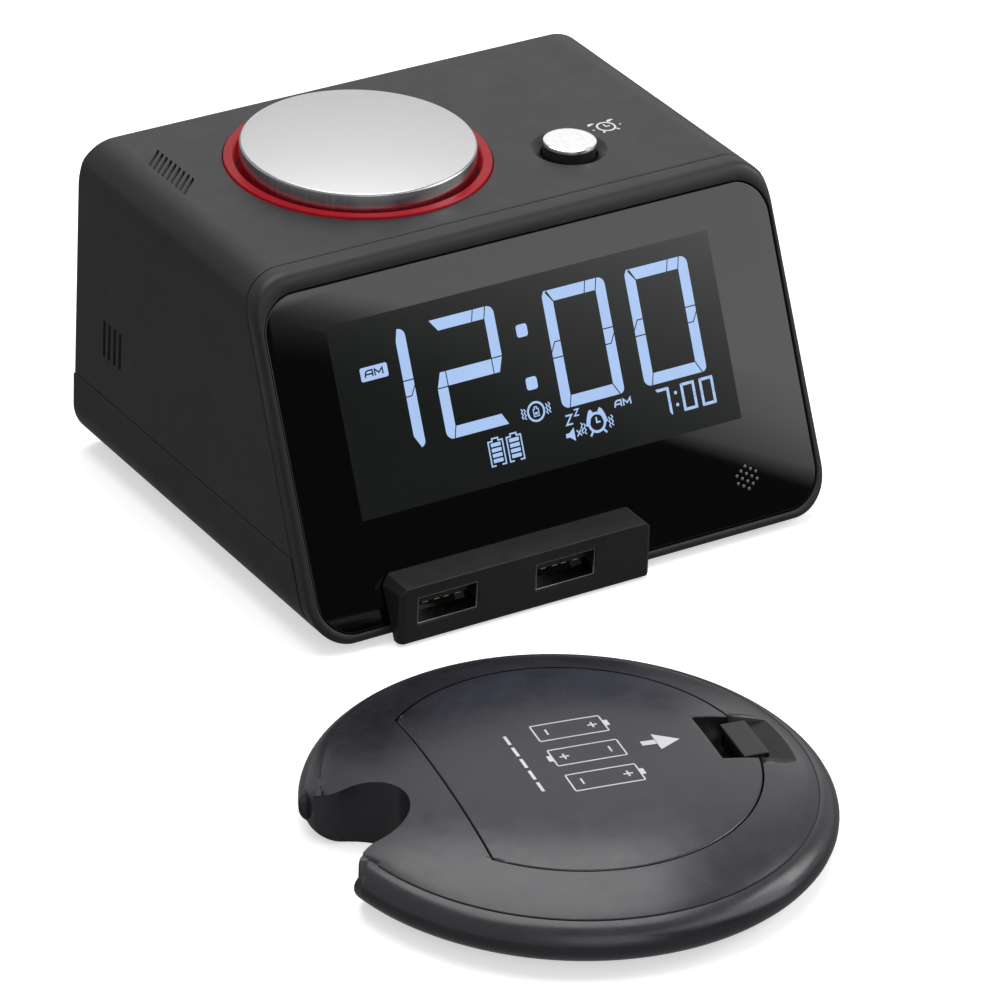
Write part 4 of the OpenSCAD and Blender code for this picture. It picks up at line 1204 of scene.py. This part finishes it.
# %% Button
cap_low, cap_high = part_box("button_cap")
plunger_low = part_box("button_plunger")[0]
BUTTON_R = (cap_high.x - cap_low.x) / 2 / MM
BUTTON_TOP = cap_high.z / MM
BUTTON_SPLIT = BUTTON_TOP - 0.95
PLUNGER_FOOT = plunger_low.z / MM
mounted("alarm_button_cap", turned("alarm_button_cap", [
    (0, BUTTON_TOP), (2.4, BUTTON_TOP - 0.01), (4.2, BUTTON_TOP - 0.05),
    (BUTTON_R - 0.35, BUTTON_TOP - 0.12), (BUTTON_R - 0.08, BUTTON_TOP - 0.28),
    (BUTTON_R, BUTTON_TOP - 0.5), (BUTTON_R, BUTTON_SPLIT), (0, BUTTON_SPLIT),
], BUTTON, [button_silver], steps=96), "alarm_button", ["button_cap"])
mounted("alarm_button_stem", turned("alarm_button_stem", [
    (0, BUTTON_SPLIT), (BUTTON_R - 0.05, BUTTON_SPLIT), (BUTTON_R - 0.05, 62.3),
    (BUTTON_R + 1.2, 62.3), (BUTTON_R + 1.2, 61.3), (BUTTON_R - 0.05, 61.3),
    (BUTTON_R - 0.05, PLUNGER_FOOT), (0, PLUNGER_FOOT),
], BUTTON, [skirt_black], steps=96), "alarm_button", ["button_plunger"])


def on_top(x, y, out):
    """A point on the case top, a given height above it."""
    return at_clock(x, y, CASE_H + out)


SIGN = (36.3, 53.0)
top_sign = hoop(SIGN[0], SIGN[1], 1.75, 0.42)
top_sign.append(ribbon([(SIGN[0], SIGN[1] + 1.1), SIGN, (SIGN[0] + 0.9, SIGN[1])], 0.34))
for side in (-1, 1):
    bell = [(SIGN[0] + side * (2.35 - 1.0 * math.cos(a)) * 0.93,
             SIGN[1] + 1.75 + 0.62 * math.sin(a)) for a in
            [math.pi * k / 10 + side * -0.55 for k in range(11)]]
    top_sign.append(bell)
    top_sign.append(ribbon([(SIGN[0] + side * 1.35, SIGN[1] - 1.55),
                            (SIGN[0] + side * 1.8, SIGN[1] - 2.1)], 0.42))
    top_sign.append(rectangle(SIGN[0] + side * 3.0 - 0.2, SIGN[0] + side * 3.0 + 0.2,
                              SIGN[1] - 0.5, SIGN[1] - 0.1, 0.15))
prisms("alarm_sign", top_sign, 0.0, 0.02, print_white, to_scene=on_top)
print("knob radius", KNOB_R, "button radius", BUTTON_R)

# %% [markdown]
# ## The charging ledge
#
# Two full-size charging sockets sit in a low step at the foot of the face. The step is
# a chamfered block. Each socket is a folded sheet-metal shell, slightly back from the
# front, with a black tongue that carries four contacts.

# %% Ledge, shells and tongues
LEDGE_FRONT = -2.6
SOCKETS = (-31.1, -5.4)


def ledge_edges(own):
    in_socket = any(abs(own.x - x) < 6.9 for x in SOCKETS) and 3.8 < own.z < 10.0
    if in_socket:
        return 0.12 if own.y < LEDGE_FRONT + 0.2 else 0.0
    return 0.35 if own.y < 8 and face_depth(own) < 0.6 else 0.0


own_piece("charging_ledge", finished_copy("usb_ledge", ledge_edges), ledge_black, "clock",
          ["usb_ledge"])
for side in ("left", "right"):
    own_piece("socket_shell_" + side, finished_copy(
        "usb_shell_" + side, lambda own: 0.1 if own.y < LEDGE_FRONT + 0.4 else 0.0),
        socket_metal, "clock", ["usb_shell_" + side])
    own_piece("socket_tongue_" + side, finished_copy(
        "usb_tongue_" + side, lambda own: 0.15 if own.y < 0.2 else 0.0),
        inner_black, "clock", ["usb_tongue_" + side])

# %% [markdown]
# The contacts are four thin strips under each tongue. They repeat in a row, so a tree
# like the one for the studs makes them, with a flat box in place of the disc.

# %% Socket contacts


def strip_tree(name, material):
    """Geometry Nodes: one flat strip on each point, with its size as a named input."""
    tree = bpy.data.node_groups.new(name, "GeometryNodeTree")
    tree.interface.new_socket("Geometry", in_out="INPUT", socket_type="NodeSocketGeometry")
    group_input(tree, "Strip Size", "NodeSocketVector", (1, 1, 1))
    tree.interface.new_socket("Geometry", in_out="OUTPUT", socket_type="NodeSocketGeometry")
    add = tree.nodes.new
    link = tree.links.new
    given, result = add("NodeGroupInput"), add("NodeGroupOutput")
    strip = add("GeometryNodeMeshCube")
    link(given.outputs["Strip Size"], strip.inputs["Size"])
    place_all = add("GeometryNodeInstanceOnPoints")
    link(given.outputs["Geometry"], place_all.inputs["Points"])
    link(strip.outputs["Mesh"], place_all.inputs["Instance"])
    solid = add("GeometryNodeRealizeInstances")
    link(place_all.outputs["Instances"], solid.inputs["Geometry"])
    paint = add("GeometryNodeSetMaterial")
    paint.inputs["Material"].default_value = material
    link(solid.outputs["Geometry"], paint.inputs["Geometry"])
    link(paint.outputs["Geometry"], result.inputs["Geometry"])
    return tree


contact_places = [at_clock(x + offset, 3.4, 6.97) for x in SOCKETS
                  for offset in (-3.5, -1.0, 1.0, 3.5)]
contact_mesh = from_nodes("socket_contacts", contact_places,
                          strip_tree("contact_tree", contact_brass),
                          {"Strip Size": (1.1 * MM, 7.2 * MM, 0.16 * MM)})
own_piece("socket_contacts", contact_mesh, contact_brass, "clock")
print("contacts", len(contact_places))

# %% [markdown]
# ## Underneath and behind
#
# The base carries four rubber feet, four screws in deep holes, and a round door with a
# coin slot for the back-up cell. The inlet for the power lead is at the rear.

# %% Feet, doors and the inlet


def foot_edges(own):
    return 0.5 if own.z < 0.3 else 0.0


own_piece("rubber_feet_soft", finished_copy("rubber_feet", foot_edges), foot_rubber, "clock",
          ["rubber_feet"])
own_piece("cell_door_moulded", finished_copy(
    "cell_door", lambda own: 0.2 if own.z < FOOT_H + 0.1 else 0.0), base_black,
    "backup_cell_door", ["cell_door"])
own_piece("power_inlet", finished_copy(
    "dc_jack", lambda own: 0.3 if own.y > CASE_D - WALL - 0.2 else 0.0), inner_black, "clock",
    ["dc_jack"])

# %% [markdown]
# ## The shaker
#
# The shaker is a flat puck: a lower shell with a fat rounded rim, a domed cover, and a
# battery door with one straight edge. The shells are drawn in a little along the seam,
# so that they meet in a soft groove. The door's edge gets a small radius, which puts a
# bright line beside its dark gap. The walls and floors of the latch recess get painted
# shade, a darker and duller black, and a thin black strip of painted shade lies at the
# bottom of the groove.

# %% Shells of the shaker
DOOR_R = 33.9
RIM_R = 11.0
SEAM_ANGLE = 45.9
SEAM_Z = 9.45
SEAM_R = SHAKER_R - RIM_R + RIM_R * math.cos(math.radians(SEAM_ANGLE))
SHAKER_H = 15.2
DOME_POWER = 3.4
GROOVE = 0.35
DOOR_EDGE = 0.28
LATCH_EDGE = 0.35
LATCH_STEP_Z = 10.5
SHARP_ANGLE = 32


def smooth_copy(node, reshape):
    """A copy of a solid with smooth shading between its sharp edges."""
    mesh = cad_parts[node].data.copy()
    mesh.name = "smooth_" + node
    build = bmesh.new()
    build.from_mesh(mesh)
    bmesh.ops.remove_doubles(build, verts=build.verts, dist=2e-6)
    for vertex in build.verts:
        vertex.co = reshape(vertex.co)
    build.to_mesh(mesh)
    build.free()
    mesh.shade_smooth()
    mesh.set_sharp_from_angle(angle=math.radians(SHARP_ANGLE))
    return mesh


def seam_groove(co):
    """Draws the edge where the shells meet inwards, so that the seam is a soft groove."""
    own = to_shaker(co)
    r = math.hypot(own.x, own.y)
    if abs(own.z - SEAM_Z) > 0.05 or r < SEAM_R - 0.5:
        return co
    share = 1 - GROOVE / r
    return at_shaker(own.x * share, own.y * share, own.z)


def door_edges(own):
    r = math.hypot(own.x, own.y)
    if own.z > dome(r) - 0.2 and r < DOOR_R + 0.2:
        return DOOR_EDGE
    return 0.0


def latch_edges(own):
    return LATCH_EDGE if own.z > LATCH_STEP_Z else 0.0


def dome(r):
    """Height of the cover at a distance from the shaker's axis."""
    return SHAKER_H - (SHAKER_H - SEAM_Z) * (r / SEAM_R) ** DOME_POWER


def paint_recess_shade(mesh):
    """Paints shade into the walls and floors below the outside of the dome, as a darker, duller
    black.
    """
    mesh.materials.clear()
    mesh.materials.append(shaker_shell)
    mesh.materials.append(painted_shade_black)
    for face in mesh.polygons:
        own = to_shaker(face.center)
        # faces sunk below the dome by the latch get the painted-shade black
        deep = own.z < dome(math.hypot(own.x, own.y)) - 0.3
        face.material_index = 1 if deep and own.z > SEAM_Z - 4 and own.x > 0 else 0
    return mesh


own_piece("shaker_lower_shell", smooth_copy("shaker_base", seam_groove), shaker_shell,
          "shaker", ["shaker_base"])
mounted("shaker_dome", paint_recess_shade(smooth_copy("shaker_cover", seam_groove)), "shaker",
        ["shaker_cover"])
mounted("shaker_door", paint_recess_shade(finished_copy("battery_door", door_edges, to_shaker)),
        "battery_lid", ["battery_door"])
own_piece("shaker_latch", finished_copy("door_latch", latch_edges, to_shaker), latch_black,
          "lid_latch", ["door_latch"])
# a thin black strip of painted shade at the bottom of the seam groove, between the two shells
line_r = SEAM_R - GROOVE - 0.2
line_arc = [math.radians(-160 + 2 * k) for k in range(161)]
prisms("shaker_seam_painted_shade", [ribbon([(line_r * math.cos(a), line_r * math.sin(a))
                                    for a in line_arc], 0.54)],
       SEAM_Z - 0.13, SEAM_Z + 0.13, painted_shade_black, "shaker", to_scene=at_shaker)
print("shaker radius", round(SHAKER_R, 2), "seam radius", round(SEAM_R, 2))

# %% [markdown]
# ### The print on the door
#
# A plain sign on the door shows how the three cells go in: outlines of the cells with
# their plus and minus ends, and an arrow towards the latch. The ink follows the dome, so
# it is as thin as ink from every side.

# %% Cell signs and arrow


def on_door(x, y, out):
    """A point on the domed door, a given height above it."""
    return at_shaker(x, y, dome(math.hypot(x, y)) + out)


ink = []
INK_X = (-3.5, 9.5)
for row, flip in ((-8.5, 1), (0.0, -1), (8.5, 1)):
    x0, x1 = INK_X
    tip = x1 if flip > 0 else x0
    for k in range(4):
        a = x0 + (x1 - x0) * k / 4
        b = x0 + (x1 - x0) * (k + 1) / 4
        ink.append(rectangle(a, b, row + 2.5, row + 2.8))
        ink.append(rectangle(a, b, row - 2.8, row - 2.5))
    for end in (x0, x1):
        ink.append(rectangle(end - 0.15, end + 0.15, row - 2.5, row + 2.5))
    ink.append(rectangle(min(tip, tip + 0.9 * flip), max(tip, tip + 0.9 * flip),
                         row - 0.9, row + 0.9))
    plus, minus = tip - 2.2 * flip, (x0 + x1) - (tip - 2.2 * flip)
    ink.append(rectangle(plus - 0.9, plus + 0.9, row - 0.18, row + 0.18))
    ink.append(rectangle(plus - 0.18, plus + 0.18, row + 0.2, row + 0.9))
    ink.append(rectangle(plus - 0.18, plus + 0.18, row - 0.9, row - 0.2))
    ink.append(rectangle(minus - 0.18, minus + 0.18, row - 0.9, row + 0.9))
ink.append([(16.0, -2.6), (20.5, 0.0), (16.0, 2.6)])
ink.append(rectangle(13.2, 15.9, -0.7, 0.7))
for k in range(5):
    ink.append(rectangle(-9.2, -8.6, -9.5 + 4 * k, -6.5 + 4 * k))
prisms("door_print", ink, -0.08, 0.03, print_white, "battery_lid", to_scene=on_door)
print("print outlines", len(ink))

# %% [markdown]
# ### Cells and springs in the battery bay
#
# They show when the door is open. A cell is a turned shape with a wrapped can, bare
# ends and a small plus button. The springs are the classic use of Geometry Nodes: a
# spiral curve with a round wire swept along it, with its sizes as named inputs.

# %% Cells
CELL_PITCH = 11.0
CELL_Z = 7.15
CELL_R = 5.25
CELL_TIP = 24.85
cell_profile = [
    (0, CELL_TIP), (1.7, CELL_TIP), (1.9, CELL_TIP - 0.2), (1.9, CELL_TIP - 0.9),
    (4.4, CELL_TIP - 0.9), (CELL_R - 0.25, CELL_TIP - 1.0), (CELL_R, CELL_TIP - 1.4),
    (CELL_R, CELL_TIP - 44.0), (CELL_R - 0.25, CELL_TIP - 44.35), (4.2, CELL_TIP - 44.4),
    (0, CELL_TIP - 44.4),
]


def along_cell(row):
    """The frame of one cell: its axis runs along the bay, and the middle one is turned."""
    flip = -1 if row == 0 else 1
    return lambda x, y, z: at_shaker(row * CELL_PITCH + flip * x, flip * z, CELL_Z + y)


cell_build = bmesh.new()
for row in (-1, 0, 1):
    part = turned("cell", cell_profile, (0, 0), [shaft_steel, cell_wrap],
                  [0, 0, 0, 0, 0, 1, 1, 1, 0, 0, 0], 48, along_cell(row))
    cell_build.from_mesh(part)
    bpy.data.meshes.remove(part)
bmesh.ops.recalc_face_normals(cell_build, faces=cell_build.faces)
cell_mesh = bpy.data.meshes.new("cells_wrapped")
cell_build.to_mesh(cell_mesh)
cell_build.free()
for material in (shaft_steel, cell_wrap):
    cell_mesh.materials.append(material)
cell_mesh.shade_smooth()
cell_mesh.set_sharp_from_angle(angle=math.radians(40))
mounted("cells_wrapped", cell_mesh, "shaker", ["aaa_cells"])

# %% Coil springs


def coil_tree(material):
    """Geometry Nodes: a wire swept along a tapering spiral."""
    tree = bpy.data.node_groups.new("coil_tree", "GeometryNodeTree")
    tree.interface.new_socket("Geometry", in_out="INPUT", socket_type="NodeSocketGeometry")
    for name, value in (("Turns", 4.0), ("Foot Radius", 1.0), ("Top Radius", 1.0),
                        ("Length", 1.0), ("Wire Radius", 0.1)):
        group_input(tree, name, "NodeSocketFloat", value)
    tree.interface.new_socket("Geometry", in_out="OUTPUT", socket_type="NodeSocketGeometry")
    add = tree.nodes.new
    link = tree.links.new
    given, result = add("NodeGroupInput"), add("NodeGroupOutput")
    spiral = add("GeometryNodeCurveSpiral")
    spiral.inputs["Resolution"].default_value = 32
    link(given.outputs["Turns"], spiral.inputs["Rotations"])
    link(given.outputs["Foot Radius"], spiral.inputs["Start Radius"])
    link(given.outputs["Top Radius"], spiral.inputs["End Radius"])
    link(given.outputs["Length"], spiral.inputs["Height"])
    wire = add("GeometryNodeCurvePrimitiveCircle")
    wire.inputs["Resolution"].default_value = 10
    link(given.outputs["Wire Radius"], wire.inputs["Radius"])
    sweep = add("GeometryNodeCurveToMesh")
    sweep.inputs["Fill Caps"].default_value = True
    link(spiral.outputs["Curve"], sweep.inputs["Curve"])
    link(wire.outputs["Curve"], sweep.inputs["Profile Curve"])
    place_all = add("GeometryNodeInstanceOnPoints")
    link(given.outputs["Geometry"], place_all.inputs["Points"])
    link(sweep.outputs["Mesh"], place_all.inputs["Instance"])
    solid = add("GeometryNodeRealizeInstances")
    link(place_all.outputs["Instances"], solid.inputs["Geometry"])
    paint = add("GeometryNodeSetMaterial")
    paint.inputs["Material"].default_value = material
    link(solid.outputs["Geometry"], paint.inputs["Geometry"])
    link(paint.outputs["Geometry"], result.inputs["Geometry"])
    return tree


WIRE_R = 0.3
SPRING_L = 5.3
coil = from_nodes("coil", [(0, 0, 0)], coil_tree(spring_steel), {
    "Turns": 4.5, "Foot Radius": 3.05 * MM, "Top Radius": 1.9 * MM,
    "Length": (SPRING_L - 2 * WIRE_R) * MM, "Wire Radius": WIRE_R * MM})
spring_build = bmesh.new()
for row in (-1, 0, 1):
    flip = -1 if row == 0 else 1
    copy = coil.copy()
    for vertex in copy.vertices:
        x, y, z = (c / MM for c in vertex.co)
        vertex.co = at_shaker(row * CELL_PITCH + flip * x, flip * (z + WIRE_R - CELL_TIP),
                              CELL_Z + y)
    spring_build.from_mesh(copy)
    bpy.data.meshes.remove(copy)
bmesh.ops.remove_doubles(spring_build, verts=spring_build.verts, dist=1e-7)
spring_mesh = closed_mesh(spring_build, "contact_coils", 60)
own_piece("contact_coils", spring_mesh, spring_steel, "shaker", ["contact_springs"])
print("coil faces", len(spring_mesh.polygons))

# %% [markdown]
# ## The pieces inside
#
# Boards, speaker, cells and motor keep their solids' own shapes, and only get their
# finishes. Most show when a cover is off or a door stands open.

# %% Finishes for the solids that stay
NODE_FINISH = {
    "lcd_panel": window_glass, "lcd_backlight": light_guide, "main_board": board_green,
    "board_screws": screw_steel, "encoder_shaft": shaft_steel, "encoder_rotor": contact_brass,
    "encoder_body": can_metal, "ring_leds": led_white, "knob_well": inner_black,
    "knob_board": board_green, "button_switch": inner_black, "usb_board": board_green,
    "speaker_basket": can_metal, "speaker_cone": cone_paper, "speaker_magnet": can_metal,
    "dc_pin": contact_brass, "radio_module": board_blue, "coin_cell": can_metal,
    "cell_holder": inner_black, "case_screws": screw_steel, "battery_tray": inner_black,
    "contact_plates": spring_steel, "shaker_board": board_green,
    "motor_can": can_metal, "motor_shaft": shaft_steel, "eccentric_weight": weight_metal,
    "motor_cradle": inner_black, "shaker_screws": screw_steel,
}
for node, material in NODE_FINISH.items():
    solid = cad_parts[node]
    solid.data.materials.clear()
    solid.data.materials.append(material)
print("carried-over solids", len(NODE_FINISH))

# %% [markdown]
# ## The visible box
#
# The box that the visible model fills is printed, in metres. The visible model has to
# stay inside the frame's box.

low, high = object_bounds()
print("visible box in metres:", [list(low), list(high)])
